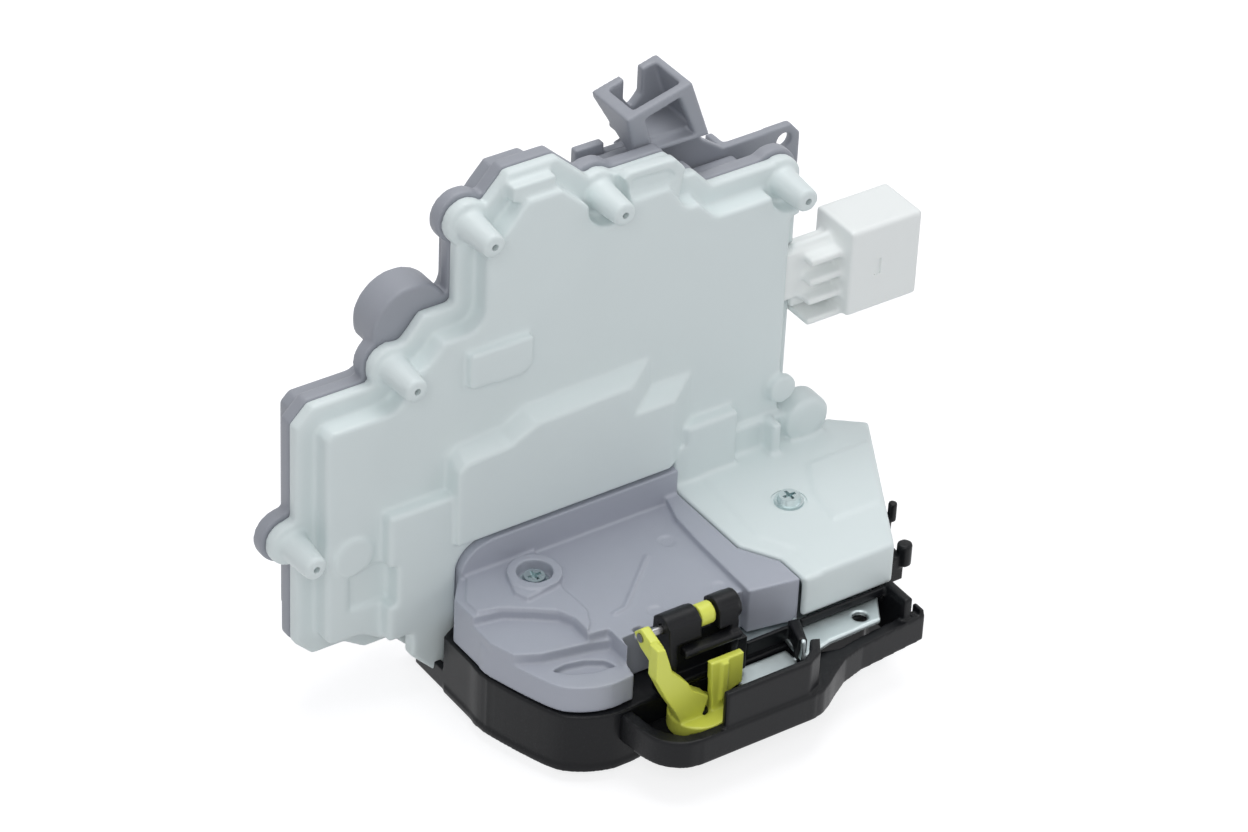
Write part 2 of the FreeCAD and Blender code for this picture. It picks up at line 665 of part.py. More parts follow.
def build_latch_cover():
    """The grey cover over the latch: a stepped floor, a wall behind it and a screw boss."""
    body = new_part("latch_cover")
    low = size.frame_top + 0.2
    slab_points = [
        (size.column_right + 0.3, 32.0),
        (size.column_right + 0.3, 23.6),
        (size.frame_left + 0.6, 16.5),
        (size.frame_left + 0.6, 0.0),
        (-43.0, -17.0),
        (-38.5, -22.5),
        (-31.5, -25.5),
        (-23.5, -25.5),
        (-22.0, size.floor_front),
        (size.border_left, size.floor_front),
        (size.roof_left - 0.4, size.floor_front - 2.5),
        (size.roof_left - 0.4, 32.0),
    ]
    floor_sketch = new_sketch(body, "floor_sketch", "XY_Plane", low)
    add_outline(floor_sketch, slab_points)
    pad(body, "floor", floor_sketch, size.floor_z - low)
    under = inset(body, "floor_inside", floor_sketch, 2.0)
    pocket(body, "floor_hollow", under, size.floor_z - low - 2.2, True)
    # Two shelves step down to the front left corner, with a lens-shaped recess in the lower one.
    upper = size.floor_z - 2.5
    lower = size.floor_z - 5.5
    edge = [
        (-21.6, -16.6),
        (-23.0, -17.8),
        (-24.2, -24.9),
        (-31.3, -24.9),
        (-38.1, -22.0),
        (-42.6, -16.8),
        (-48.4, -0.2),
    ]
    upper_bed = [
        (-48.4, 9.6),
        (-41.0, 8.0),
        (-34.6, 4.0),
        (-28.6, -0.8),
        (-26.8, -5.2),
        (-26.8, -10.6),
        (-21.6, -11.2),
    ]
    slab(body, "upper_bed", "XY_Plane", lower - 0.5, size.floor_z - 2.0, upper_bed + edge)
    lower_bed = [(-47.0, -5.0), (-40.2, -9.0), (-29.0, -11.2), (-21.6, -13.0)]
    slab(body, "lower_bed", "XY_Plane", lower - 3.5, lower, lower_bed + edge[:6])
    outside = [(-22.8, -27.0), (-51.0, -27.0)]
    upper_shelf = [
        (-51.0, 8.4),
        (-41.5, 6.6),
        (-35.2, 2.4),
        (-30.0, -1.6),
        (-28.2, -5.6),
        (-28.2, -12.0),
        (-22.8, -12.8),
    ]
    cut(body, "upper_shelf", "XY_Plane", upper, size.floor_z + 1.0, upper_shelf + outside)
    lower_shelf = [(-51.0, -4.5), (-40.2, -10.0), (-29.0, -12.2), (-22.8, -14.2)]
    cut(body, "lower_shelf", "XY_Plane", lower, size.floor_z + 1.0, lower_shelf + outside)
    lens = [(-40.0, -13.6), (-35.5, -13.2), (-30.5, -14.4), (-26.4, -17.0), (-25.2, -20.2)]
    lens += [(-31.0, -19.6), (-36.5, -17.2)]
    cut(body, "lens", "XY_Plane", lower - 2.0, lower + 1.0, lens)
    under_plate = box_points(size.plate_left - 2.0, size.roof_left + 1.0, -30.0, 40.0)
    cut(body, "plate_clearance", "XY_Plane", low - 1.0, size.roof_skirt_low, under_plate)
    wall = box_points(size.column_right + 0.3, size.roof_left - 0.4, size.block_front_y, size.split_y - 0.3)
    wall_sketch = new_sketch(body, "wall_sketch", "XY_Plane", size.floor_z - 2.0)
    add_outline(wall_sketch, wall)
    pad(body, "wall", wall_sketch, size.wall_top - size.floor_z + 2.0)
    corner = arch_corner(9.0, size.column_right - 1.0)
    cut(body, "wall_arc", "XZ_Plane", size.block_front_y - 1.0, size.split_y, corner)
    gap = size.part_gap
    front = size.floor_front - 3.0
    border = [
        (size.border_left + 3.5, size.block_front_y + 1.0),
        (size.border_left + 0.6, 14.0),
        (size.border_left - 0.4, 2.0),
        (size.border_left - 1.2, front),
        (size.roof_front_left - gap, front - 2.5),
        (size.roof_front_left - gap, -14.4),
        (size.roof_left - 0.4, -4.2),
        (size.roof_left - 0.4, size.block_front_y + 1.0),
    ]
    slab(body, "border", "XY_Plane", size.floor_z - 0.5, size.floor_z + size.border_rise, border)
    corner = [
        (size.border_left - 1.2, size.floor_front + 0.5),
        (size.border_left - 1.2, front),
        (size.roof_front_left - gap, front - 2.5),
        (size.roof_front_left - gap, -14.4),
        (size.roof_left - 1.0, -8.0),
    ]
    slab(body, "border_corner", "XY_Plane", size.roof_skirt_low + 0.4, size.floor_z, corner)
    plateau = [
        (-41.0, size.block_front_y + 1.0),
        (-47.2, 14.0),
        (-47.2, 8.6),
        (-41.5, 7.0),
        (-35.2, 2.8),
        (-30.0, -1.2),
        (-28.0, -5.6),
        (-28.0, -11.5),
        (-25.8, -9.4),
        (-23.5, -4.3),
        (-23.9, 6.0),
        (-21.5, 12.0),
        (-22.0, size.block_front_y + 1.0),
    ]
    slab(body, "plateau", "XY_Plane", size.floor_z - 0.5, size.floor_z + 0.9, plateau)
    thin_rib = [(1.6, 7.0), (-14.9, -7.7), (-18.7, -8.3), (-18.7, -9.3), (-14.5, -8.7), (2.2, 6.2)]
    slab(body, "thin_rib", "XY_Plane", size.floor_z - 0.5, size.floor_z + 0.6, thin_rib)
    ear = [(-34.4, 14.8), (-36.0, 9.2), (-34.6, 5.4), (-27.5, 6.2), (-27.5, 14.0)]
    tip = [(-31.0, 19.0), (-23.4, 21.2), (-21.6, 18.6), (-21.4, 11.0), (-27.5, 13.0)]
    slab(body, "boss_flange", "XY_Plane", size.floor_z, size.floor_z + size.boss_rise - 0.4, more=[ear])
    slab(body, "boss_tip", "XY_Plane", size.floor_z, size.floor_z + size.boss_rise - 0.9, tip)
    boss = [(size.boss_x, size.boss_y, size.boss_radius)]
    slab(body, "screw_boss", "XY_Plane", low + 2.0, size.floor_z + size.boss_rise, circles=boss)
    sink = [(size.boss_x, size.boss_y, size.boss_hole)]
    cut(body, "screw_sink", "XY_Plane", size.floor_z - 1.0, size.floor_z + 10.0, circles=sink)
    hole = [(size.boss_x, size.boss_y, 2.0)]
    cut(body, "screw_hole", "XY_Plane", low - 1.0, size.floor_z, circles=hole)
    marks = [(9.6, 9.1, 2.3), (10.1, -13.2, 2.3), (-8.9, -13.1, 2.3)]
    cut(body, "ejector_marks", "XY_Plane", size.floor_z - 0.35, size.floor_z + 1.0, circles=marks)
    notches = [box_points(x, x + 3.0, size.floor_front - 1.0, size.floor_front + 1.7) for x in (-18.1, -2.3)]
    cut(body, "edge_notches", "XY_Plane", size.floor_z - 2.0, size.floor_z + 1.0, more=notches)
    return body


def frame_outline():
    """The outline of the black latch frame, with a notch for the front cover's toe."""
    return [
        (size.column_right + 0.4, size.frame_back),
        (size.column_right + 0.4, 23.6),
        (size.frame_left, 20.0),
        (size.frame_left, 0.0),
        (-43.5, -18.0),
        (-38.5, -24.0),
        (-30.5, size.frame_front),
        (46.0, size.frame_front),
        (52.5, -20.5),
        (57.5, -20.5),
        (size.frame_right, 19.0),
        (size.roof_back_right - 0.5, size.frame_back),
    ]


def build_latch_frame():
    body = new_part("latch_frame")
    low = size.face_thick + 0.2
    outline = new_sketch(body, "frame_sketch", "XY_Plane", low)
    add_outline(outline, frame_outline())
    pad(body, "frame", outline, size.frame_top - low)
    cavity = inset(body, "cavity_outline", outline, size.frame_wall)
    pocket(body, "cavity", cavity, size.frame_top - low - size.frame_wall, True)
    mouth = [
        (-size.mouth_radius, size.mouth_end + size.mouth_radius),
        (size.mouth_radius, size.mouth_end + size.mouth_radius),
        (size.mouth_radius, size.frame_back + 1.0),
        (-size.mouth_radius, size.frame_back + 1.0),
    ]
    cut(body, "mouth", "XY_Plane", low - 1.0, size.frame_top - size.frame_wall, mouth)
    holes = [(side * size.bolt_spacing / 2, 0.0, size.bolt_radius + 2.6) for side in (-1, 1)]
    slab(body, "bolt_wells", "XY_Plane", low, size.frame_top, circles=holes)
    bores = [(x, y, size.bolt_radius + 0.8) for x, y, radius in holes]
    cut(body, "bolt_bores", "XY_Plane", low - 1.0, size.frame_top - 2.0, circles=bores)
    relief = [(size.coupling_x, size.coupling_y, size.coupling_radius + 0.4)]
    cut(body, "coupling_relief", "XY_Plane", size.coupling_low - 0.4, size.frame_top + 1.0, circles=relief)
    threads = [
        (size.boss_x, size.boss_y, size.screw_shank + 0.02),
        (size.roof_screw_x, size.roof_screw_y, size.screw_shank + 0.02),
    ]
    cut(body, "screw_threads", "XY_Plane", size.frame_top - 3.0, size.frame_top + 1.0, circles=threads)
    return body


def build_face_plate():
    body = new_part("face_plate")
    plate = [
        (-44.0, size.frame_back),
        (-47.0, 20.0),
        (-47.0, 0.0),
        (-41.5, -16.0),
        (-30.0, -24.0),
        (47.5, -24.0),
        (55.5, -18.0),
        (77.5, 19.0),
        (size.roof_back_right - 2.0, size.frame_back),
    ]
    slab(body, "plate", "XY_Plane", 0.0, size.face_thick, plate)
    mouth = [
        (-size.mouth_radius, size.mouth_end + size.mouth_radius),
        (size.mouth_radius, size.mouth_end + size.mouth_radius),
        (size.mouth_radius + 3.0, size.frame_back + 1.0),
        (-size.mouth_radius - 3.0, size.frame_back + 1.0),
    ]
    cut(body, "mouth", "XY_Plane", -1.0, size.face_thick + 1.0, mouth)
    end = [(0.0, size.mouth_end + size.mouth_radius, size.mouth_radius)]
    cut(body, "mouth_end", "XY_Plane", -1.0, size.face_thick + 1.0, circles=end)
    holes = [(side * size.bolt_spacing / 2, 0.0, size.bolt_radius) for side in (-1, 1)]
    cut(body, "bolt_holes", "XY_Plane", -1.0, size.face_thick + 1.0, circles=holes)
    return body


def build_back_plate():
    """The steel plate over the latch, with the tongue that shows in front of the roof."""
    body = new_part("back_plate")
    low = size.frame_top + 0.1
    plate = [
        (size.plate_left, 20.0),
        (size.plate_left, -22.0),
        (21.5, -25.5),
        (20.4, size.plate_front - 2.2),
        (25.0, size.plate_front - 2.0),
        (30.5, size.plate_front - 0.6),
        (46.6, size.plate_front),
        (51.2, -25.0),
        (58.0, 10.0),
        (58.0, 20.0),
    ]
    slab(body, "plate", "XY_Plane", low, low + size.plate_thick, plate)
    holes = [(42.7, -29.0, 2.0), (size.roof_screw_x, size.roof_screw_y, size.screw_shank + 0.3)]
    cut(body, "holes", "XY_Plane", low - 1.0, low + 3.0, circles=holes)
    flap = [(20.4, size.plate_front - 2.2), (21.8, size.plate_front - 2.2), (25.4, -25.4), (24.0, -25.0)]
    slab(body, "flap", "XY_Plane", low, low + 6.2, flap)
    return body


def build_guard_rail():
    """The black rail in front of the latch: a nose round the coupling, then a straight run."""
    body = new_part("guard_rail")
    wall = size.rail_wall
    run = size.rail_front + 0.6
    outer = [
        (size.nose_left - 1.0, size.frame_front),
        (size.nose_left, size.nose_front + 10.0),
        (size.nose_left + 2.0, size.nose_front + 5.0),
        (size.nose_left + 6.0, size.nose_front + 1.4),
        (size.nose_left + 11.0, size.nose_front),
        (size.nose_right - 2.0, size.nose_front),
        (size.nose_right + 3.0, size.nose_front + 1.6),
        (size.nose_right + 8.0, size.nose_front + 4.8),
        (size.nose_right + 13.0, size.nose_front + 7.8),
        (size.nose_right + 19.6, run - 2.0),
        (size.rail_end, run),
        (size.rail_end, run + wall),
        (size.nose_right + 19.6, run - 2.0 + wall),
        (size.nose_right + 14.0, run + 0.2),
        (size.nose_right + 9.0, run + 1.6),
        (size.nose_right + 6.5, size.frame_front),
    ]
    slab(body, "rail", "XY_Plane", size.rail_low, size.rail_high, outer)
    inner = [
        (size.nose_left - 1.0 + wall, size.frame_front + 1.0),
        (size.nose_left + wall, size.nose_front + 10.6),
        (size.nose_left + wall + 1.6, size.nose_front + 7.0),
        (size.nose_left + 8.0, size.nose_front + wall + 0.8),
        (size.nose_left + 12.0, size.nose_front + wall),
        (size.nose_right - 3.0, size.nose_front + wall),
        (size.nose_right + 1.0, size.nose_front + wall + 2.0),
        (size.nose_right + 3.0, size.nose_front + 9.0),
        (size.nose_right + 2.0, size.frame_front + 1.0),
    ]
    cut(body, "nose_well", "XY_Plane", size.rail_low + 2.0, size.rail_high + 1.0, inner)
    post = box_points(53.0, 57.0, run + wall - 1.5, -20.5)
    slab(body, "rail_post", "XY_Plane", size.rail_low, size.rail_high, post)
    lip = box_points(53.0, 54.6, run + wall - 1.5, -25.2)
    slab(body, "rail_lip", "XY_Plane", size.rail_high - 1.0, size.rail_high + 4.5, lip)
    # The upright fin that shields the coupling from the front.
    fin = [
        (-7.0, size.nose_front + 1.4),
        (size.nose_right - 3.0, size.nose_front + 1.4),
        (size.nose_right + 0.4, size.nose_front + 3.4),
        (size.nose_right + 3.6, size.nose_front + 8.0),
        (size.nose_right + 2.2, size.nose_front + 9.0),
        (size.nose_right - 0.8, size.nose_front + 4.8),
        (size.nose_right - 3.6, size.nose_front + 3.0),
        (-7.0, size.nose_front + 3.0),
    ]
    slab(body, "fin", "XY_Plane", size.rail_high - 1.0, size.rail_high + size.fin_rise, fin)
    end_hook = box_points(size.rail_end - 1.4, size.rail_end, run + 0.4, run + wall + 0.8)
    slab(body, "end_hook", "XY_Plane", size.rail_high - 4.0, size.rail_high + 1.4, end_hook)
    pivot = [(size.coupling_x, size.coupling_y, size.coupling_post)]
    pivot_top = size.coupling_low + size.coupling_base + 0.6
    slab(body, "coupling_post", "XY_Plane", size.rail_low, pivot_top, circles=pivot)
    return body


def arc_points(radius, first, last, count, x=0.0, y=0.0):
    """Corner points along an arc, worked out from bound sizes."""
    points = []
    for step in range(count + 1):
        angle = size_of(first) + (size_of(last) - first) * (step / count)
        points.append((x + radius * cosine(angle), y + radius * sine(angle)))
    return points


def claw_outline(grow=0.0):
    """The open claw about its pivot: the hook that the striker pushes, the throat and the long arm."""
    heel = arc_points(size.claw_hub - grow, 150.0, 350.0, 8)
    hook = arc_points(size.claw_hook - grow, 24.0 + grow, 54.0 - grow, 5)
    throat = arc_points(size.claw_throat - grow, 58.0, 86.0, 3)
    arm = arc_points(size.claw_arm - grow, 88.0 + grow, 110.0 - grow, 4)
    return heel + hook + throat + arm


def pawl_outline():
    """The pawl about its pivot, lifted clear of the claw's hook."""
    hub = arc_points(size.pawl_hub, -55.0, 200.0, 10)
    tooth = [(-6.4, -8.5), (-5.6, -14.5), (-5.6, -18.6), (-1.2, -19.4), (1.6, -12.5)]
    return hub + tooth


def build_swinging(name, at, outline, jacket_outline, pin_radius):
    """A steel plate that swings about a vertical pin, with its plastic jacket."""
    low = size.claw_low
    high = low + size.claw_thick
    plate = new_part(name, at)
    slab(plate, "plate", "XY_Plane", low, high, outline)
    cut(plate, "bore", "XY_Plane", low - 1.0, high + 1.0, circles=[(0.0, 0.0, pin_radius + size.pin_fit)])
    jacket = new_part(name + "_jacket", at)
    slab(jacket, "plate", "XY_Plane", high, high + size.jacket_thick, jacket_outline)
    cut(jacket, "bore", "XY_Plane", low, high + 4.0, circles=[(0.0, 0.0, pin_radius + 0.5)])
    pin = new_part(name + "_pin", at)
    pin_top = size.frame_top - size.frame_wall - 0.1
    slab(pin, "pin", "XY_Plane", size.face_thick, pin_top, circles=[(0.0, 0.0, pin_radius)])
    collar = [(0.0, 0.0, pin_radius + 1.6)]
    slab(pin, "collar", "XY_Plane", size.face_thick, low - 0.1, circles=collar)


def build_coil(name, at, role, low, radius, turns):
    """A torsion spring: a coil of square wire round a pin, with its axis along the plane's normal."""
    body = new_part(name, at)
    wire = size.spring_wire
    sketch = new_sketch(body, "wire_sketch", role, 0.0)
    add_outline(sketch, box_points(radius, radius + wire, low, low + wire))
    coil = body.newObject("PartDesign::AdditiveHelix", "coil")
    coil.Profile = sketch
    coil.ReferenceAxis = (sketch, ["V_Axis"])
    coil.Mode = "pitch-turns-angle"
    bind(coil, "Pitch", wire * 1.6)
    coil.Turns = turns
    return body


def build_latch_works():
    claw_at = (size.claw_x, size.claw_y, 0.0)
    pawl_at = (size.pawl_x, size.pawl_y, 0.0)
    build_swinging("claw", claw_at, claw_outline(), claw_outline(0.8), size.claw_pin_radius)
    disc = arc_points(size.pawl_hub - 0.6, 0.0, 345.0, 23)
    build_swinging("pawl", pawl_at, pawl_outline(), disc, size.pawl_pin_radius)
    spring_low = size.claw_low + size.claw_thick + size.jacket_thick + 0.3
    build_coil("claw_spring", claw_at, "XZ_Plane", spring_low, size.claw_pin_radius + 0.4, 3.0)
    build_coil("pawl_spring", pawl_at, "XZ_Plane", spring_low, size.pawl_pin_radius + 0.4, 3.0)
    bumper = new_part("striker_bumper")
    ceiling = size.frame_top - size.frame_wall
    block = box_points(-6.0, 6.0, size.mouth_end - 9.0, size.mouth_end - 0.4)
    slab(bumper, "block", "XY_Plane", spring_low, ceiling - 0.1, block)


def worm_axis(name):
    """The height of a drive's worm: below the lock wheel, above the safe wheel."""
    reach = size.wheel_radius + size.tooth_height / 2 + size.worm_core + size.gear_slack
    return size.lock_wheel_z - reach if name == "lock" else size.safe_wheel_z + reach


def motor_places():
    """The left end and the height of each motor."""
    return [
        (size.lock_motor_right - size.motor_length, worm_axis("lock")),
        (size.safe_motor_left, worm_axis("safe")),
    ]


def build_motor(name, left, z):
    """A small can motor lying along X, with its two flats facing front and back."""
    body = new_part(name)
    half = size.motor_height / 2
    top = arc_points(half, 45.0, 135.0, 6, size.motor_y, z)
    bottom = arc_points(half, 225.0, 315.0, 6, size.motor_y, z)
    slab(body, "can", "YZ_Plane", left, left + size.motor_length, top + bottom)
    return body


def build_drive(name, wheel_x, wheel_z, motor_left, shaft_ends, first_turn, lever_angle):
    """One drive: motor, shaft, worm and wheel, with the pin that moves the lever behind it."""
    axis_z = worm_axis(name)
    build_motor(name + "_motor", motor_left, axis_z)
    shaft = new_part(name + "_motor_shaft", (0.0, size.motor_y, axis_z))
    slab(shaft, "shaft", "YZ_Plane", shaft_ends[0], shaft_ends[1], circles=[(0.0, 0.0, size.shaft_radius)])
    worm = new_part(name + "_worm", (wheel_x, size.motor_y, axis_z))
    half = size.worm_length / 2
    slab(worm, "core", "YZ_Plane", -half, half, circles=[(0.0, 0.0, size.worm_core)])
    tooth = new_sketch(worm, "thread_sketch", "XZ_Plane", 0.0)
    foot = size.worm_core - 0.3
    tip = size.worm_core + size.tooth_height - 0.1
    start = -size.tooth_pitch * first_turn
    add_outline(tooth, [(start - 0.6, foot), (start + 0.6, foot), (start + 0.25, tip), (start - 0.25, tip)])
    thread = worm.newObject("PartDesign::AdditiveHelix", "thread")
    thread.Profile = tooth
    thread.ReferenceAxis = (tooth, ["H_Axis"])
    thread.Mode = "pitch-height-angle"
    bind(thread, "Pitch", size.tooth_pitch)
    bind(thread, "Height", size.tooth_pitch * 3.75)
    cut(worm, "bore", "YZ_Plane", -half - 1.0, half + 1.0, circles=[(0.0, 0.0, size.shaft_radius + 0.02)])
    wheel = new_part(name + "_wheel", (wheel_x, size.motor_y, wheel_z))
    low, high = -size.wheel_width / 2, size.wheel_width / 2
    root = size.wheel_radius - size.tooth_height / 2
    slab(wheel, "disc", "XZ_Plane", low, high, circles=[(0.0, 0.0, root)])
    outer = size.wheel_radius + size.tooth_height / 2 - 0.1
    tooth_points = [(-0.7, root - 0.3), (0.7, root - 0.3), (0.3, outer), (-0.3, outer)]
    single = slab(wheel, "tooth", "XZ_Plane", low, high, tooth_points)
    pattern = wheel.newObject("PartDesign::PolarPattern", "teeth")
    pattern.Originals = [single]
    pattern.Axis = (origin_plane(wheel, "Y_Axis"), [""])
    pattern.Angle = 360.0
    bind(pattern, "Occurrences", size.wheel_teeth)
    wheel.Tip = pattern
    front, back = cavity_levels()
    sleeve = [(0.0, 0.0, size.axle_radius + 1.4)]
    level = lever_level() - size.motor_y
    slab(wheel, "sleeve", "XZ_Plane", front + 0.3 - size.motor_y, level - 0.2, circles=sleeve)
    pin = [(*polar(lever_angle, size.drive_pin_reach, 0.0), size.drive_pin)]
    slab(wheel, "drive_pin", "XZ_Plane", high - 0.5, level + size.lever_thick + 0.2, circles=pin)
    bore = [(0.0, 0.0, size.axle_radius + size.pin_fit)]
    cut(wheel, "bore", "XZ_Plane", front - size.motor_y, back - size.motor_y, circles=bore)
    build_axle(name + "_wheel_axle", wheel_x, wheel_z)


def cavity_levels():
    """The inner faces of the front cover and of the rear housing."""
    return (
        size.split_y - size.cover_depth + size.cover_wall,
        size.split_y + size.housing_depth - size.housing_wall,
    )


def lever_level():
    """The front face of the levers that lie behind the wheels."""
    return cavity_levels()[1] - size.lever_thick - 1.0


def polar(angle, reach, side):
    """A point at a reach along a direction, and beside it."""
    x = reach * cosine(angle) - side * sine(angle)
    return (x, reach * sine(angle) + side * cosine(angle))


def build_axle(name, x, z):
    """A plain pin across the casing's cavity."""
    front, back = cavity_levels()
    pin = new_part(name, (x, 0.0, z))
    slab(pin, "pin", "XZ_Plane", front + 0.1, back - 0.1, circles=[(0.0, 0.0, size.axle_radius)])


def build_fork_lever(name, x, z, angle, reach, arm):
    """A flat lever whose fork takes the drive pin of its wheel."""
    level = lever_level()
    body = new_part(name, (x, level, z))
    front, back = cavity_levels()
    slab(body, "hub", "XZ_Plane", 0.0, size.lever_thick, circles=[(0.0, 0.0, 5.0)])
    fork = [polar(angle, 2.0, -3.6), polar(angle, reach, -3.4), polar(angle, reach, 3.4), polar(angle, 2.0, 3.6)]
    slab(body, "fork", "XZ_Plane", 0.0, size.lever_thick, fork)
    slab(body, "arm", "XZ_Plane", 0.0, size.lever_thick, arm)
    gap = size.drive_pin + size.drive_slack
    slot = [
        polar(angle, reach - 12.0, -gap),
        polar(angle, reach + 1.0, -gap),
        polar(angle, reach + 1.0, gap),
        polar(angle, reach - 12.0, gap),
    ]
    cut(body, "slot", "XZ_Plane", -1.0, size.lever_thick + 1.0, slot)
    sleeve = [(0.0, 0.0, size.axle_radius + 1.4)]
    slab(body, "sleeve", "XZ_Plane", front + 0.3 - level, back - 0.3 - level, circles=sleeve)
    bore = [(0.0, 0.0, size.axle_radius + size.pin_fit)]
    cut(body, "bore", "XZ_Plane", front - level, back - level, circles=bore)
    build_axle(name + "_pin", x, z)


def build_levers():
    """The two flat levers behind the wheels."""
    down = [(-3.0, -4.0), (3.0, -4.0), (3.4, -12.4), (-1.0, -12.4)]
    build_fork_lever("lock_lever", size.lock_lever_x, size.lock_lever_z, size.lock_fork_angle, 19.5, down)
    up = [(2.0, 4.0), (-3.0, 4.0), (1.0, 16.0), (4.0, 15.0)]
    build_fork_lever("safe_lever", size.safe_lever_x, size.safe_lever_z, size.safe_fork_angle, 26.5, up)


def build_electrics():
    """Lead frame, switches, connector and its terminals."""
    front = size.split_y - size.cover_depth + size.cover_wall
    carrier = new_part("contact_carrier")
    plate = [
        (27.0, 102.6),
        (size.panel_right - 11.5, 102.6),
        (size.panel_right - 11.5, 60.0),
        (size.panel_right - 7.8, 60.0),
        (size.panel_right - 7.8, 103.6),
        (size.panel_right - 16.0, 103.6),
        (size.panel_right - 16.0, 109.5),
        (27.0, 109.5),
    ]
    slab(carrier, "plate", "XZ_Plane", front + 0.2, front + 1.8, plate)
    switches = new_part("position_switches")
    cases = [box_points(x - 4.5, x + 4.5, z - 3.0, z + 3.0) for x, z in SWITCHES]
    slab(switches, "cases", "XZ_Plane", front + 0.2, front + 6.2, more=cases)
    knobs = [box_points(x - 3.5, x - 1.5, z + 2.5, z + 4.0) for x, z in SWITCHES]
    slab(switches, "buttons", "XZ_Plane", front + 2.0, front + 4.4, more=knobs)
    plug = new_part("connector_housing")
    shell = box_points(size.plug_front, size.plug_back, size.plug_low, size.plug_high)
    slab(plug, "shell", "YZ_Plane", size.plug_left, size.plug_right, shell)
    wall = size.plug_wall
    inside = box_points(size.plug_front + wall, size.plug_back - wall, size.plug_low + wall, size.plug_high - wall)
    cut(plug, "socket", "YZ_Plane", size.plug_right - size.plug_depth, size.plug_right + 1.0, inside)
    neck = box_points(front + 0.3, size.split_y - 0.3, size.neck_low, size.neck_high)
    slab(plug, "neck", "YZ_Plane", size.panel_right - 6.8, size.plug_left + 0.5, neck)
    ribs = []
    for number in range(4):
        low = size.plug_low - 1.0 + number * 6.0
        ribs.append(box_points(size.plug_front + 3.0, size.plug_back - 2.5, low, low + 2.0))
    slab(plug, "ribs", "YZ_Plane", size.panel_right + 0.4, size.plug_left + 0.5, more=ribs)
    pins = new_part("connector_terminals")
    middle = (size.plug_low + size.plug_high) / 2
    blades = []
    for row in range(2):
        for place in range(4):
            y = size.plug_front + 9.0 + row * 2.6
            z = middle - 6.0 + place * 4.0
            blades.append(box_points(y - 0.4, y + 0.4, z - 0.5, z + 0.5))
    slab(pins, "blades", "YZ_Plane", size.panel_right - 7.2, size.plug_right - 6.0, more=blades)
    cut(plug, "blade_slots", "YZ_Plane", size.panel_right - 8.0, size.plug_right, more=blades)


def build_coupling():
    """The yellow coupling at the outside handle, with the black lever that it carries."""
    coupling = new_part("handle_coupling", (size.coupling_x, size.coupling_y, 0.0))
    low, base = size.coupling_low, size.coupling_low + size.coupling_base
    slab(coupling, "base", "XY_Plane", low, base, circles=[(0.0, 0.0, size.coupling_radius)])
    arm = [
        (-14.9, 43.2),
        (-14.8, 34.0),
        (-11.5, 27.0),
        (-8.2, 21.0),
        (-6.0, 15.0),
        (-1.0, 15.0),
        (1.3, 22.8),
        (-3.5, 26.4),
        (-5.2, 29.5),
        (-10.0, 34.7),
        (-12.6, 43.0),
    ]
    slab(coupling, "left_arm", "XZ_Plane", -2.6, 1.2, arm)
    reach = size.lever_axis_y - size.coupling_y
    axis = size.lever_axis_z
    ear = [(-1.0, axis - 5.5), (-1.0, axis + 0.5), (reach, axis + 2.8), (reach + 2.8, axis), (reach, axis - 2.8)]
    slab(coupling, "ear", "YZ_Plane", -14.2, -11.7, ear)
    cut(coupling, "ear_hole", "YZ_Plane", -15.0, -11.0, circles=[(reach, axis, size.lever_pin)])
    plate = [(1.6, 32.5), (11.3, 32.3), (11.4, 22.9), (6.6, 21.4), (5.8, 15.5), (2.7, 15.5)]
    slab(coupling, "right_plate", "XZ_Plane", -2.4, -0.4, plate)
    fold = [(4.6, 31.9), (6.4, 31.9), (6.4, 22.4), (4.6, 20.0)]
    slab(coupling, "plate_rib", "XZ_Plane", -3.3, -2.2, fold)
    bore = [(0.0, 0.0, size.coupling_post + size.pin_fit)]
    cut(coupling, "bore", "XY_Plane", low - 1.0, base + 1.0, circles=bore)
    lever = new_part("handle_lever", (0.0, size.lever_axis_y, size.lever_axis_z))
    slab(lever, "barrel", "YZ_Plane", -18.0, -8.5, circles=[(0.0, 0.0, 3.7)])
    channel = [(-3.6, 2.0), (-4.4, -9.0), (-3.4, -17.0), (-0.5, -20.6), (2.6, -20.0), (4.2, -12.0), (3.6, 2.0)]
    slab(lever, "channel", "YZ_Plane", -18.0, 2.5, channel)
    hollow = [(-5.0, -3.4), (-5.0, -15.5), (-0.5, -15.5), (-0.5, -3.4)]
    cut(lever, "channel_hollow", "YZ_Plane", -15.6, 0.3, hollow)
    hook = [(-2.4, -10.5), (-2.4, -20.6), (1.8, -20.6), (1.8, -10.5)]
    slab(lever, "hook", "YZ_Plane", 2.0, 6.8, hook)
    saddle = box_points(-6.0, 6.0, -3.6, 5.0)
    cut(lever, "saddle", "YZ_Plane", -8.4, -3.2, saddle)
    slab(lever, "right_barrel", "YZ_Plane", -3.2, 3.6, circles=[(0.0, 0.0, 3.7)])
    bar = [(-5.4, -7.4), (-5.4, -5.6), (-2.6, -5.0), (-2.6, -7.4)]
    slab(lever, "front_bar", "YZ_Plane", -14.0, 3.0, bar)
    bore = [(0.0, 0.0, size.lever_pin + size.pin_fit)]
    cut(lever, "bore", "YZ_Plane", -20.0, 8.0, circles=bore)
    pin = new_part("handle_lever_pin", (0.0, size.lever_axis_y, size.lever_axis_z))
    slab(pin, "pin", "YZ_Plane", size.coupling_x - 14.4, 3.4, circles=[(0.0, 0.0, size.lever_pin)])


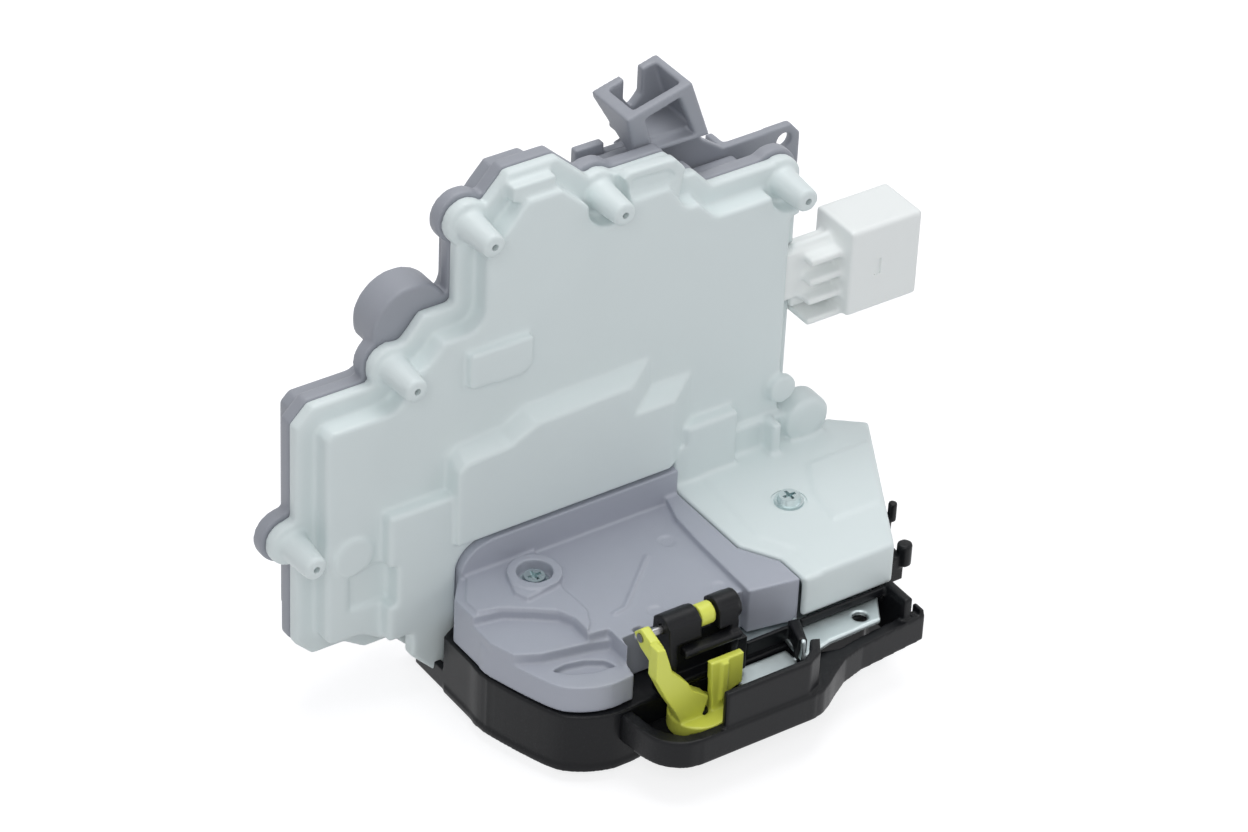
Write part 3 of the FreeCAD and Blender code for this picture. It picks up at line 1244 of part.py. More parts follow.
def build_plate_lever(name, x, z, y_low, thick, hub, arms, bore):
    """A flat lever in the XZ plane: a round hub and its arms about the pivot."""
    body = new_part(name, (x, y_low, z))
    slab(body, "hub", "XZ_Plane", 0.0, thick, circles=[(0.0, 0.0, hub)])
    for number, arm in enumerate(arms, start=1):
        slab(body, "arm_%d" % number, "XZ_Plane", 0.0, thick, arm)
    cut(body, "bore", "XZ_Plane", -1.0, thick + 1.0, circles=[(0.0, 0.0, bore + size.pin_fit)])
    return body


def build_bracket():
    """The cable bracket behind the top of the casing, with its arm and the inside release lever."""
    body = new_part("cable_bracket")
    back = size.split_y + size.housing_depth + size.part_gap
    plate = [
        (size.bracket_left, size.bracket_low),
        (16.0, 106.0),
        (40.0, size.arm_low),
        (size.arm_right + 2.0, size.arm_low),
        (size.arm_right + 2.0, size.arm_top - 5.0),
        (size.arm_right - 1.0, size.arm_top - 1.5),
        (50.0, size.arm_top - 2.0),
        (43.0, size.bracket_low + 1.0),
        (size.box_foot_right, size.bracket_foot + 2.0),
        (size.bracket_left, size.bracket_foot + 2.0),
    ]
    slab(body, "plate", "XZ_Plane", back, back + size.bracket_wall, plate)
    # The box that holds the cable's end leans to the left and is open at its top.
    wall, top, foot = size.bracket_wall, size.bracket_top, size.bracket_foot
    box = [
        (size.box_foot_left, foot),
        (size.box_foot_right, foot),
        (size.box_head_right, top),
        (size.box_head_left, top - 5.0),
    ]
    slab(body, "box", "XZ_Plane", size.bracket_front, size.bracket_back, box)
    inside = [
        (size.box_foot_left + wall - 0.6, foot + wall),
        (size.box_foot_right - wall - 0.9, foot + wall),
        (size.box_head_right - wall, top + 1.0),
        (size.box_head_left + wall, top + 1.0),
    ]
    cut(body, "box_hollow", "XZ_Plane", size.bracket_front + wall, size.bracket_back - wall, inside)
    window = [
        (size.box_head_left + 5.5, top - 6.4),
        (size.box_head_right - 3.4, top - 3.4),
        (size.box_foot_right - 4.4, foot + 1.5),
        (size.box_foot_left + 5.4, foot + 1.5),
    ]
    cut(body, "box_window", "XZ_Plane", size.bracket_front - 1.0, size.bracket_front + wall + 0.5, window)
    notch = [
        (22.6, top + 2.0),
        (22.6, top - 8.6),
        (25.0, top - 11.6),
        (27.8, top - 8.6),
        (27.8, top + 2.0),
    ]
    cut(body, "box_notch", "XZ_Plane", size.bracket_back - wall - 0.5, size.bracket_back + 1.0, notch)
    wedge = [
        (size.bracket_back + 1.0, foot - 1.0),
        (size.bracket_back + 1.0, top - 6.6),
        (size.bracket_back - 0.4, top - 7.1),
        (size.bracket_front + 3.1, foot - 0.1),
        (size.bracket_front + 3.1, foot - 1.0),
    ]
    cut(body, "left_wedge", "YZ_Plane", size.box_head_left - 1.0, size.box_foot_left + wall, wedge)
    rib = box_points(49.8, 52.0, size.arm_low + 3.0, size.arm_top - 2.1)
    slab(body, "arm_rib", "XZ_Plane", back, size.bracket_back, rib)
    hole = [(size.arm_right - 3.0, size.arm_top - 6.0, size.arm_hole)]
    cut(body, "arm_hole", "XZ_Plane", back - 1.0, back + 5.0, circles=hole)
    pivot_x, pivot_z = 26.0, 113.0
    cut(body, "pivot_hole", "XZ_Plane", back - 1.0, back + 5.0, circles=[(pivot_x, pivot_z, 2.6)])
    lever_low = back + size.bracket_wall + 0.3
    arms = [
        [(-3.0, 3.0), (3.0, 3.0), (-3.0, 11.8), (-6.5, 10.8)],
        [(-3.0, -3.0), (0.0, -4.5), (-16.0, -13.0), (-18.0, -9.0)],
    ]
    build_plate_lever("inside_lever", pivot_x, pivot_z, lever_low, 2.4, 5.6, arms, 2.5)
    pin = new_part("inside_lever_pin", (pivot_x, 0.0, pivot_z))
    slab(pin, "pin", "XZ_Plane", back - 0.1, lever_low + 4.4, circles=[(0.0, 0.0, 2.5)])
    slab(pin, "head", "XZ_Plane", lever_low + 2.7, lever_low + 4.4, circles=[(0.0, 0.0, 4.2)])


def build_screws():
    """The casing screws from behind, and the two screws that show on top."""
    flange_back = size.split_y + size.housing_flange
    body = new_part("casing_screws")
    shanks = [(x, z, 1.2) for x, z in posts()]
    slab(body, "shanks", "XZ_Plane", size.split_y - size.rim_thick - 8.0, flange_back + 0.5, circles=shanks)
    heads = [(x, z, 3.2) for x, z in posts()]
    slab(body, "heads", "XZ_Plane", flange_back + 0.1, flange_back + 2.4, circles=heads)
    tops = (
        ("floor_screw", size.boss_x, size.boss_y, size.floor_z - 0.9),
        ("roof_screw", size.roof_screw_x, size.roof_screw_y, size.roof_z + 0.1),
    )
    for name, x, y, seat in tops:
        body = new_part(name, (x, y, 0.0))
        slab(body, "shank", "XY_Plane", size.frame_top - 1.8, seat + 0.5, circles=[(0.0, 0.0, size.screw_shank)])
        slab(body, "head", "XY_Plane", seat, seat + 2.2, circles=[(0.0, 0.0, size.screw_head)])
        slab(body, "flange", "XY_Plane", seat, seat + 0.7, circles=[(0.0, 0.0, size.screw_flange)])


def build_seal():
    """The cord seal between the two halves of the casing, in the housing's rebate."""
    body = new_part("casing_seal")
    low = size.split_y + 0.05
    outline = new_sketch(body, "outline_sketch", "XZ_Plane", low)
    add_outline(outline, casing_outline())
    outer = inset(body, "seal_outer", outline, size.cover_step + 0.4)
    pad(body, "ring", outer, 1.0)
    inner = inset(body, "seal_inner", outline, size.cover_step + 1.6)
    pocket(body, "ring_hole", inner, 3.0, True)


build_front_cover()
build_rear_housing()
build_latch_cover()
build_latch_frame()
build_face_plate()
build_back_plate()
build_guard_rail()
build_latch_works()
(lock_left, _), (safe_left, _) = motor_places()
lock_shaft = (size.lock_motor_right + 0.2, size.lock_wheel_x + 9.0)
safe_shaft = (size.safe_wheel_x - 9.0, size.safe_motor_left - 0.2)
build_drive("lock", size.lock_wheel_x, size.lock_wheel_z, lock_left, lock_shaft, 1.5, size.lock_fork_angle - 180.0)
build_drive("safe", size.safe_wheel_x, size.safe_wheel_z, safe_left, safe_shaft, 2.0, size.safe_fork_angle - 180.0)
build_levers()
build_electrics()
build_coupling()
build_bracket()
build_screws()
build_seal()

doc.recompute()
for thing in doc.Objects:
    faults = [state for state in thing.State if state in ("Invalid", "Error")]
    if faults:
        raise RuntimeError("%s is %s" % (thing.Label, faults))
os.makedirs("parts", exist_ok=True)
for body in parts:
    shape = body.Shape
    if shape.isNull() or not shape.isValid():
        raise RuntimeError("%s has no valid shape" % body.Label)
    shape.exportStep(os.path.join("parts", body.Label + ".step"))
    bounds = shape.BoundBox
    print("%-18s solids %d volume %8.0f  X %.1f %.1f  Y %.1f %.1f  Z %.1f %.1f" % (
        body.Label, len(shape.Solids), shape.Volume, bounds.XMin, bounds.XMax,
        bounds.YMin, bounds.YMax, bounds.ZMin, bounds.ZMax))
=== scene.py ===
import json
import math

import bmesh
import bpy
from bpy.props import FloatProperty, FloatVectorProperty, IntProperty, PointerProperty
from mathutils import Matrix, Vector


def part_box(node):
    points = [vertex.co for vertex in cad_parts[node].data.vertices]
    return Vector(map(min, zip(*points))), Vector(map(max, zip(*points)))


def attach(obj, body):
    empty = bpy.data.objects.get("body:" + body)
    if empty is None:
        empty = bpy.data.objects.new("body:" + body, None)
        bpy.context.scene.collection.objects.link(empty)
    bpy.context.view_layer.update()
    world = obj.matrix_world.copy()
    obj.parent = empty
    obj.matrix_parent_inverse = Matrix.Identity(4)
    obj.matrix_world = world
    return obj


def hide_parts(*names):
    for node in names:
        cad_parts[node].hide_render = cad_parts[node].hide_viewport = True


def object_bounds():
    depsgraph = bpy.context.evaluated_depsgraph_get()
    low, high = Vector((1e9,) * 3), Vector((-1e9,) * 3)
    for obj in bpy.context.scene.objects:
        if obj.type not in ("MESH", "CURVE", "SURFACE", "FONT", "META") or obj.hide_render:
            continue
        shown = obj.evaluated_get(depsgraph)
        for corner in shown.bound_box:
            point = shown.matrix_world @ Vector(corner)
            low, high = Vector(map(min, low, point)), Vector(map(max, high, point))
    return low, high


bl_info = {
    "name": "Door Latch Actuator",
    "version": (1, 0, 0),
    "blender": (4, 5, 0),
    "location": "View3D > Sidebar > Latch",
    "description": "Dresses the packed door latch actuator and sets up its studio",
    "category": "Object",
}

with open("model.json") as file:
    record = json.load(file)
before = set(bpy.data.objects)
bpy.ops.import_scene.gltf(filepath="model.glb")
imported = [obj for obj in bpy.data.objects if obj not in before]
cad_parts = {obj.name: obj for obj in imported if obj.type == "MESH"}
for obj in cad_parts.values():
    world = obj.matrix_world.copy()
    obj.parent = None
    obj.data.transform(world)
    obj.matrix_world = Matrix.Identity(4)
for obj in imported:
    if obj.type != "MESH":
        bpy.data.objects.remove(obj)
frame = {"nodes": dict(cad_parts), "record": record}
CAD_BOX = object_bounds()
NODES = frame["nodes"]
BODIES = frame["record"]["behaviour"]["bodies"]
BODY_OF = {node: body for body, nodes in BODIES.items() for node in nodes}
SLOT_OF = {entry["node"]: entry["material_slot"] for entry in frame["record"]["subparts"]}
FLOOR_Z = CAD_BOX[0].z
MM = 0.001
WHITE = (1.0, 1.0, 1.0, 1.0)

# Meshes: the reach within which corners merge, and how finely the edges are rounded.
MERGE_REACH = 0.000002
FLAT_ANGLE = 0.6
SHARP_ANGLE = 50.0
VOXEL_SHARE = 0.62
KEEP_SMALL = 0.4
KEEP_SHELL = 0.3
BRACKET_SHARE = 0.75
ROUND_SIDES = 32
CURVE_STEPS = 6

# Textures: scales are in cycles to the metre, heights in metres.
FLOW_SCALE = 38.0
SPOT_SCALE = 190.0
GRAIN_SCALE = 2600.0
GRAIN_HEIGHT = 0.00006
CLOUD_SCALE = 90.0
DRAWN_SCALE = (60.0, 1900.0, 1900.0)
STREAK_HEIGHT = 0.00004
DUST_COLOUR = (0.62, 0.61, 0.58, 1.0)
PLASTIC_ROUGHNESS_SWING = 0.22
METAL_ROUGHNESS_SWING = 0.4
SUBSURFACE_SCALE = 0.0010


def colour(name, text, value):
    return FloatVectorProperty(
        name=name, description=text, default=value, subtype="COLOR", min=0.0, max=1.0
    )


def length(name, text, value):
    return FloatProperty(
        name=name, description=text, default=value, unit="LENGTH", min=0.0, precision=5
    )


def power(name, text, value):
    return FloatProperty(name=name, description=text, default=value, unit="POWER", min=0.0)


def count(name, text, value):
    return IntProperty(name=name, description=text, default=value, min=1, max=20)


class LatchColours(bpy.types.PropertyGroup):
    """Base colours of the finishes."""

    cover: colour("Front cover", "Natural nylon of the front cover", (0.72, 0.79, 0.79))
    plug: colour("Connector", "Natural nylon of the connector", (0.86, 0.89, 0.88))
    casing: colour("Grey casing", "Nylon of the rear housing and bracket", (0.31, 0.325, 0.365))
    floor: colour("Latch cover", "Grey nylon of the latch cover", (0.395, 0.415, 0.475))
    black: colour("Black nylon", "Black nylon of the latch frame and rail", (0.0065, 0.007, 0.0085))
    yellow: colour("Coupling", "Yellow acetal of the handle coupling", (0.72, 0.76, 0.11))
    acetal: colour("Wheels", "Natural acetal of the worm wheels", (0.82, 0.80, 0.72))
    jacket: colour("Jackets", "Plastic jackets of the claw and pawl", (0.30, 0.045, 0.03))
    steel: colour("Zinc steel", "Zinc-plated steel plates", (0.50, 0.56, 0.57))
    bright: colour("Bright steel", "Turned pins and shafts", (0.66, 0.66, 0.67))
    brass: colour("Brass", "Worms", (0.74, 0.56, 0.22))
    tin: colour("Tin", "Tinned terminals", (0.72, 0.71, 0.68))
    rubber: colour("Rubber", "Seal and striker bumper", (0.02, 0.02, 0.021))
    spring: colour("Spring steel", "Spring wire and the coupling's pin", (0.30, 0.30, 0.31))
    screw: colour("Screws", "Zinc-plated screws", (0.60, 0.68, 0.69))
    can: colour("Motor cans", "Drawn cans of the motors", (0.58, 0.59, 0.58))


class LatchEdges(bpy.types.PropertyGroup):
    """Rounds of the moulded and pressed edges."""

    cover_round: length("Cover round", "Round on the front cover's edges", 0.0009)
    post_hole: length("Post hole", "Radius of the hole in the end of each screw post", 0.0009)
    casing_round: length("Casing round", "Round on the grey mouldings' edges", 0.0008)
    floor_round: length("Floor round", "Round on the latch cover's edges", 0.0006)
    frame_round: length("Frame round", "Round on the black mouldings' edges", 0.0006)
    small_round: length("Small round", "Round on the handle parts' edges", 0.0005)
    steel_break: length("Steel break", "Broken edge of pressed steel", 0.0006)
    passes: count("Passes", "Passes that soften the other edges", 5)
    cover_passes: count("Cover passes", "Passes on the front cover", 10)
    case_passes: count("Grey passes", "Passes on the rear housing and bracket", 12)
    floor_passes: count("Floor passes", "Passes on the latch cover", 4)
    plug_passes: count("Connector passes", "Passes on the connector", 12)


class LatchFasteners(bpy.types.PropertyGroup):
    """Sizes of the screws and springs."""

    head_radius: length("Head radius", "Radius of a latch screw's head", 0.0033)
    head_height: length("Head height", "Height of a latch screw's head", 0.0021)
    flange_radius: length("Flange radius", "Radius of the washer under the head", 0.0039)
    shank_radius: length("Shank radius", "Radius of a latch screw's shank", 0.0016)
    case_head_radius: length("Casing head radius", "Radius of a casing screw's head", 0.0031)
    case_head_height: length("Casing head height", "Height of a casing screw's head", 0.0022)
    case_flange_radius: length("Casing flange radius", "Radius of its washer", 0.0032)
    case_shank_radius: length("Casing shank radius", "Radius of a casing screw's shank", 0.0012)
    recess_width: length("Recess width", "Width of the cross recess", 0.0009)
    recess_length: length("Recess length", "Span of the cross recess", 0.0037)
    recess_depth: length("Recess depth", "Depth of the cross recess", 0.0014)
    wire_radius: length("Wire radius", "Radius of the spring wire", 0.0003)


class LatchStage(bpy.types.PropertyGroup):
    """Studio floor, lamps and camera."""

    key_power: power("Key lamp", "Power of the key lamp", 3.7)
    fill_power: power("Fill lamp", "Power of the fill lamp", 1.5)
    top_power: power("Top lamp", "Power of the top lamp", 5.8)
    sky_strength: FloatProperty(
        name="Sky", description="Strength of the even studio light", default=0.36, min=0.0
    )
    lens: FloatProperty(
        name="Lens",
        description="Focal length of the camera",
        default=135.03,
        min=10.0,
        unit="CAMERA",
    )


class Tree:
    """Small helper that adds and links the nodes of one tree."""

    def __init__(self, tree):
        self.tree = tree

    def add(self, kind, **values):
        node = self.tree.nodes.new(kind)
        for key, value in values.items():
            setattr(node, key, value)
        return node

    def give(self, socket, value):
        """Link an input to another socket or set it to a plain value."""
        if isinstance(value, bpy.types.NodeSocket):
            self.link(value, socket)
        else:
            socket.default_value = value

    def put(self, node, **values):
        """Set inputs by their names, written with underscores for spaces."""
        for key, value in values.items():
            self.give(node.inputs[key.replace("_", " ")], value)
        return node

    def math(self, operation, *values, **settings):
        """The result of a math node on sockets or numbers."""
        node = self.add("ShaderNodeMath", operation=operation, **settings)
        for socket, value in zip(node.inputs, values):
            self.give(socket, value)
        return node.outputs[0]

    def link(self, start, end):
        self.tree.links.new(start, end)


FINISH_OUTPUTS = (
    ("Colour", "NodeSocketColor"),
    ("Roughness", "NodeSocketFloat"),
    ("Height", "NodeSocketFloat"),
)


def finish_group(name, inputs):
    """A group of shader nodes, still empty, with the outputs that every finish gives."""
    group = bpy.data.node_groups.new(name, "ShaderNodeTree")
    for title, kind, value in inputs:
        socket = group.interface.new_socket(title, in_out="INPUT", socket_type=kind)
        socket.default_value = value
    for title, kind in FINISH_OUTPUTS:
        group.interface.new_socket(title, in_out="OUTPUT", socket_type=kind)
    return group


def toned(t, colour_in, noise, amount):
    """A colour that a noise makes lighter and darker, and that noise about zero."""
    centred = t.math("SUBTRACT", noise.outputs["Fac"], 0.5)
    swing = t.math("MULTIPLY_ADD", centred, amount, 1.0)
    tone = t.put(t.add("ShaderNodeVectorMath", operation="SCALE"), Scale=swing)
    t.link(colour_in, tone.inputs[0])
    return tone.outputs[0], centred


def moulded_group():
    """Shared look of moulded plastic: flow mottle, fine grain and a little settled dust."""
    if "moulded finish" in bpy.data.node_groups:
        return bpy.data.node_groups["moulded finish"]
    group = finish_group("moulded finish", (
        ("Colour", "NodeSocketColor", (0.5, 0.5, 0.5, 1.0)),
        ("Mottle", "NodeSocketFloat", 0.06),
        ("Roughness", "NodeSocketFloat", 0.5),
        ("Grain", "NodeSocketFloat", 1.0),
        ("Dust", "NodeSocketFloat", 0.1),
    ))
    t = Tree(group)
    entry = t.add("NodeGroupInput").outputs
    place = t.add("ShaderNodeTexCoord").outputs["Object"]
    noise = "ShaderNodeTexNoise"
    flow = t.put(t.add(noise), Vector=place, Scale=FLOW_SCALE, Detail=4.0, Roughness=0.6)
    grain = t.put(t.add(noise), Vector=place, Scale=GRAIN_SCALE, Detail=2.0, Roughness=0.7)
    spots = t.put(t.add(noise), Vector=place, Scale=SPOT_SCALE, Detail=6.0, Roughness=0.75)
    tone, centred = toned(t, entry["Colour"], flow, entry["Mottle"])
    normal = t.add("ShaderNodeNewGeometry").outputs["Normal"]
    up = t.put(t.add("ShaderNodeSeparateXYZ"), Vector=normal)
    facing = up.outputs["Z"]
    settled = t.put(t.add("ShaderNodeMapRange"), Value=facing, From_Min=0.3, From_Max=1.0)
    spotted = spots.outputs["Fac"]
    patch = t.put(t.add("ShaderNodeMapRange"), Value=spotted, From_Min=0.5, From_Max=0.8)
    dust = t.math("MULTIPLY", settled.outputs[0], patch.outputs[0])
    mix = t.add("ShaderNodeMix", data_type="RGBA")
    t.link(t.math("MULTIPLY", dust, entry["Dust"]), mix.inputs["Factor"])
    t.link(tone, mix.inputs[6])
    mix.inputs[7].default_value = DUST_COLOUR
    swing, base = PLASTIC_ROUGHNESS_SWING, entry["Roughness"]
    t.put(
        t.add("NodeGroupOutput"),
        Colour=mix.outputs[2],
        Roughness=t.math("MULTIPLY_ADD", centred, swing, base, use_clamp=True),
        Height=t.math("MULTIPLY", grain.outputs["Fac"], entry["Grain"]),
    )
    return group


def metal_group():
    """Shared look of plated and turned metal: drawn streaks and cloudy plating."""
    if "metal finish" in bpy.data.node_groups:
        return bpy.data.node_groups["metal finish"]
    group = finish_group("metal finish", (
        ("Colour", "NodeSocketColor", (0.6, 0.6, 0.6, 1.0)),
        ("Cloud", "NodeSocketFloat", 0.15),
        ("Roughness", "NodeSocketFloat", 0.35),
        ("Streak", "NodeSocketFloat", 0.5),
    ))
    t = Tree(group)
    entry = t.add("NodeGroupInput").outputs
    place = t.add("ShaderNodeTexCoord").outputs["Object"]
    drawn = t.put(t.add("ShaderNodeMapping"), Vector=place, Scale=DRAWN_SCALE)
    noise = "ShaderNodeTexNoise"
    streak = t.put(t.add(noise), Vector=drawn.outputs[0], Scale=1.0, Detail=3.0, Roughness=0.6)
    cloud = t.put(t.add(noise), Vector=place, Scale=CLOUD_SCALE, Detail=4.0, Roughness=0.6)
    tone, centred = toned(t, entry["Colour"], cloud, entry["Cloud"])
    swing, base = METAL_ROUGHNESS_SWING, entry["Roughness"]
    t.put(
        t.add("NodeGroupOutput"),
        Colour=tone,
        Roughness=t.math("MULTIPLY_ADD", centred, swing, base, use_clamp=True),
        Height=t.math("MULTIPLY", streak.outputs["Fac"], entry["Streak"]),
    )
    return group


def dressed(name, base, group, height, strength, **values):
    """A material that takes its colour, roughness and relief from a finish group."""
    material = bpy.data.materials.new(name)
    material.use_nodes = True
    t = Tree(material.node_tree)
    look = t.put(t.add("ShaderNodeGroup", node_tree=group), Colour=(*base, 1.0), **values)
    relief = look.outputs["Height"]
    raised = t.put(t.add("ShaderNodeBump"), Height=relief, Distance=height, Strength=strength)
    shader = t.put(
        material.node_tree.nodes["Principled BSDF"],
        Base_Color=look.outputs["Colour"],
        Roughness=look.outputs["Roughness"],
        Normal=raised.outputs["Normal"],
    )
    material.diffuse_color = (*base, 1.0)
    return material, t, shader


def plastic(name, base, roughness, mottle=0.05, grain=1.0, dust=0.05, subsurface=0.0, gloss=0.5):
    """A moulded plastic; subsurface is its weight, gloss the level of its highlights."""
    values = {"Mottle": mottle, "Roughness": roughness, "Grain": grain, "Dust": dust}
    material, t, shader = dressed(name, base, moulded_group(), GRAIN_HEIGHT, 0.5, **values)
    t.put(shader, Specular_IOR_Level=gloss)
    if subsurface:
        t.put(
            shader,
            Subsurface_Weight=subsurface,
            Subsurface_Radius=(1.0, 1.0, 1.0),
            Subsurface_Scale=SUBSURFACE_SCALE,
        )
    return material


def metal(name, base, roughness, cloud=0.15, streak=0.5):
    """A plated or turned metal."""
    values = {"Cloud": cloud, "Roughness": roughness, "Streak": streak}
    material, t, shader = dressed(name, base, metal_group(), STREAK_HEIGHT, 0.4, **values)
    t.put(shader, Metallic=1.0)
    return material


def finish(slot_name):
    """The finish of one of the record's slots, made once."""
    name = slot_name + "_finish"
    if name in bpy.data.materials:
        return bpy.data.materials[name]
    colours = bpy.context.scene.latch_colours
    natural = {"dust": 0.0, "subsurface": 0.06}
    makers = {
        "white_plastic": lambda n: plastic(n, colours.cover, 0.42, mottle=0.04, **natural),
        "plug_plastic": lambda n: plastic(n, colours.plug, 0.40, mottle=0.03, **natural),
        "grey_plastic": lambda n: plastic(n, colours.casing, 0.45, mottle=0.09, grain=1.4),
        "floor_plastic": lambda n: plastic(n, colours.floor, 0.42, mottle=0.08, grain=1.4),
        "black_plastic": lambda n: plastic(
            n, colours.black, 0.34, mottle=0.25, grain=1.6, dust=0.02, gloss=0.2
        ),
        "natural_plastic": lambda n: plastic(
            n, colours.acetal, 0.35, mottle=0.04, dust=0.0, subsurface=0.1
        ),
        "yellow_plastic": lambda n: plastic(
            n, colours.yellow, 0.33, mottle=0.08, dust=0.0, subsurface=0.08
        ),
        "red_plastic": lambda n: plastic(n, colours.jacket, 0.4, mottle=0.1),
        "black_rubber": lambda n: plastic(
            n, colours.rubber, 0.75, mottle=0.2, grain=2.0, dust=0.25
        ),
        "zinc_steel": lambda n: metal(n, colours.steel, 0.46, cloud=0.22, streak=0.5),
        "bright_steel": lambda n: metal(n, colours.bright, 0.22, cloud=0.08, streak=0.8),
        "spring_steel": lambda n: metal(n, colours.spring, 0.3, cloud=0.1, streak=0.9),
        "screw_steel": lambda n: metal(n, colours.screw, 0.28, cloud=0.3, streak=0.4),
        "motor_can": lambda n: metal(n, colours.can, 0.26, cloud=0.12, streak=0.7),
        "brass": lambda n: metal(n, colours.brass, 0.24, cloud=0.12, streak=0.8),
        "tinned_copper": lambda n: metal(n, colours.tin, 0.3, cloud=0.12, streak=0.4),
    }
    return makers[slot_name](name)


def solid_copy(node):
    """A merged copy of a CAD node's mesh, with flat faces joined."""
    mesh = NODES[node].data.copy()
    work = bmesh.new()
    work.from_mesh(mesh)
    bmesh.ops.remove_doubles(work, verts=work.verts, dist=MERGE_REACH)
    flat = math.radians(FLAT_ANGLE)
    bmesh.ops.dissolve_limit(work, angle_limit=flat, verts=work.verts, edges=work.edges)
    work.to_mesh(mesh)
    work.free()
    return mesh


def applied(piece):
    """Turn the evaluated object into a plain mesh and take its modifiers off."""
    graph = bpy.context.evaluated_depsgraph_get()
    mesh = bpy.data.meshes.new_from_object(piece.evaluated_get(graph), depsgraph=graph)
    piece.modifiers.clear()
    piece.data = mesh


def rounded(
    node, width, material=None, softening=None, keep=KEEP_SMALL, cut=None, added=None, holes=None
):
    """Stand a copy with softly rounded edges in for one CAD node.

    The forms to cut go before those that are added, and the holes are drilled through the
    finished skin.
    """
    piece = bpy.data.objects.new(node + "_moulded", solid_copy(node))
    bpy.context.scene.collection.objects.link(piece)
    if cut:
        take_away(piece, cut)
    if added:
        work = bmesh.new()
        work.from_mesh(piece.data)
        work.from_mesh(added)
        work.to_mesh(piece.data)
        work.free()
    even = piece.modifiers.new("even skin", "REMESH")
    even.mode = "VOXEL"
    even.voxel_size = VOXEL_SHARE * width
    soft = piece.modifiers.new("soft edges", "SMOOTH")
    soft.factor = 0.5
    soft.iterations = softening or bpy.context.scene.latch_edges.passes
    fewer = piece.modifiers.new("fewer faces", "DECIMATE")
    fewer.ratio = keep
    applied(piece)
    if holes:
        take_away(piece, holes)
    for face in piece.data.polygons:
        face.use_smooth = True
    if holes:
        piece.data.set_sharp_from_angle(angle=math.radians(SHARP_ANGLE))
    slot_name = SLOT_OF[node]
    piece.data.materials.clear()
    piece.data.materials.append(material or finish(slot_name))
    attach(piece, BODY_OF[node])
    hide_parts(node)


def take_away(piece, mesh):
    """Cut the forms of a mesh out of a piece."""
    tool = bpy.data.objects.new("tool", mesh)
    bpy.context.scene.collection.objects.link(tool)
    minus = piece.modifiers.new("cut", "BOOLEAN")
    minus.operation = "DIFFERENCE"
    minus.solver = "EXACT"
    minus.use_self = True
    minus.object = tool
    applied(piece)
    bpy.data.objects.remove(tool)


class Forms:
    """Blocks, prisms, rounds and curved walls in millimetres, gathered in one mesh in metres."""

    def __init__(self):
        self.work = bmesh.new()

    def block(self, x, y, z):
        outline = [(x[0], y[0]), (x[1], y[0]), (x[1], y[1]), (x[0], y[1])]
        return self.prism(outline, *z)

    def prism(self, outline, low, high):
        """An upright prism: its outline runs in X and Y."""
        turning = sum(a[0] * b[1] - b[0] * a[1] for a, b in zip(outline, outline[1:] + outline[:1]))
        if turning < 0:
            outline = outline[::-1]
        bottom, top = (
            [self.work.verts.new((x * MM, y * MM, z * MM)) for x, y in outline] for z in (low, high)
        )
        self.work.faces.new(bottom[::-1])
        self.work.faces.new(top)
        for index in range(len(outline)):
            after = (index + 1) % len(outline)
            self.work.faces.new((bottom[index], bottom[after], top[after], top[index]))
        return self

    def round(self, start, end, first, last=None):
        """A round bar or cone from one point to another."""
        start, end = Vector(start) * MM, Vector(end) * MM
        turn = (end - start).to_track_quat("Z", "Y").to_matrix().to_4x4()
        where = Matrix.Translation((start + end) / 2) @ turn
        bmesh.ops.create_cone(
            self.work,
            cap_ends=True,
            segments=ROUND_SIDES,
            radius1=first * MM,
            radius2=(first if last is None else last) * MM,
            depth=(end - start).length,
            matrix=where,
        )
        return self

    def along_y(self, middle, depth, radius):
        """A round bar along Y, about a middle in X and Z."""
        start, end = ((middle[0], y, middle[1]) for y in depth)
        return self.round(start, end, radius)

    def curved_wall(self, points, wall, low, high):
        """A wall along a smooth line through points, with its thickness on the line's left."""
        line = []
        held = [points[0]] + list(points) + [points[-1]]
        for a, b, c, d in zip(held, held[1:], held[2:], held[3:]):
            for step in range(CURVE_STEPS):
                t = step / CURVE_STEPS
                line.append([
                    0.5 * (
                        2 * q
                        + (r - p) * t
                        + (2 * p - 5 * q + 4 * r - o) * t**2
                        + (3 * q - p - 3 * r + o) * t**3
                    )
                    for p, q, r, o in zip(a, b, c, d)
                ])
        line.append(list(points[-1]))
        inner = []
        for index, (x, y) in enumerate(line):
            before, after = line[max(index - 1, 0)], line[min(index + 1, len(line) - 1)]
            along = Vector((after[0] - before[0], after[1] - before[1])).normalized()
            inner.append([x - along.y * wall, y + along.x * wall])
        for start, end, inside, last in zip(line, line[1:], inner, inner[1:]):
            self.prism([tuple(start), tuple(end), tuple(last), tuple(inside)], low, high)
        return self

    def mesh(self, name):
        mesh = bpy.data.meshes.new(name)
        self.work.to_mesh(mesh)
        self.work.free()
        return mesh


def islands(node):
    """The corners of the boxes round the separate solids of one CAD node, from left to right."""
    work = bmesh.new()
    work.from_mesh(NODES[node].data)
    bmesh.ops.remove_doubles(work, verts=work.verts, dist=MERGE_REACH)
    boxes = []
    left = set(work.verts)
    while left:
        group = []
        reached = [left.pop()]
        while reached:
            vertex = reached.pop()
            group.append(vertex.co.copy())
            for edge in vertex.link_edges:
                other = edge.other_vert(vertex)
                if other in left:
                    left.remove(other)
                    reached.append(other)
        low = Vector([min(point[axis] for point in group) for axis in range(3)])
        high = Vector([max(point[axis] for point in group) for axis in range(3)])
        boxes.append((low, high))
    work.free()
    return sorted(boxes, key=lambda box: box[0].x)


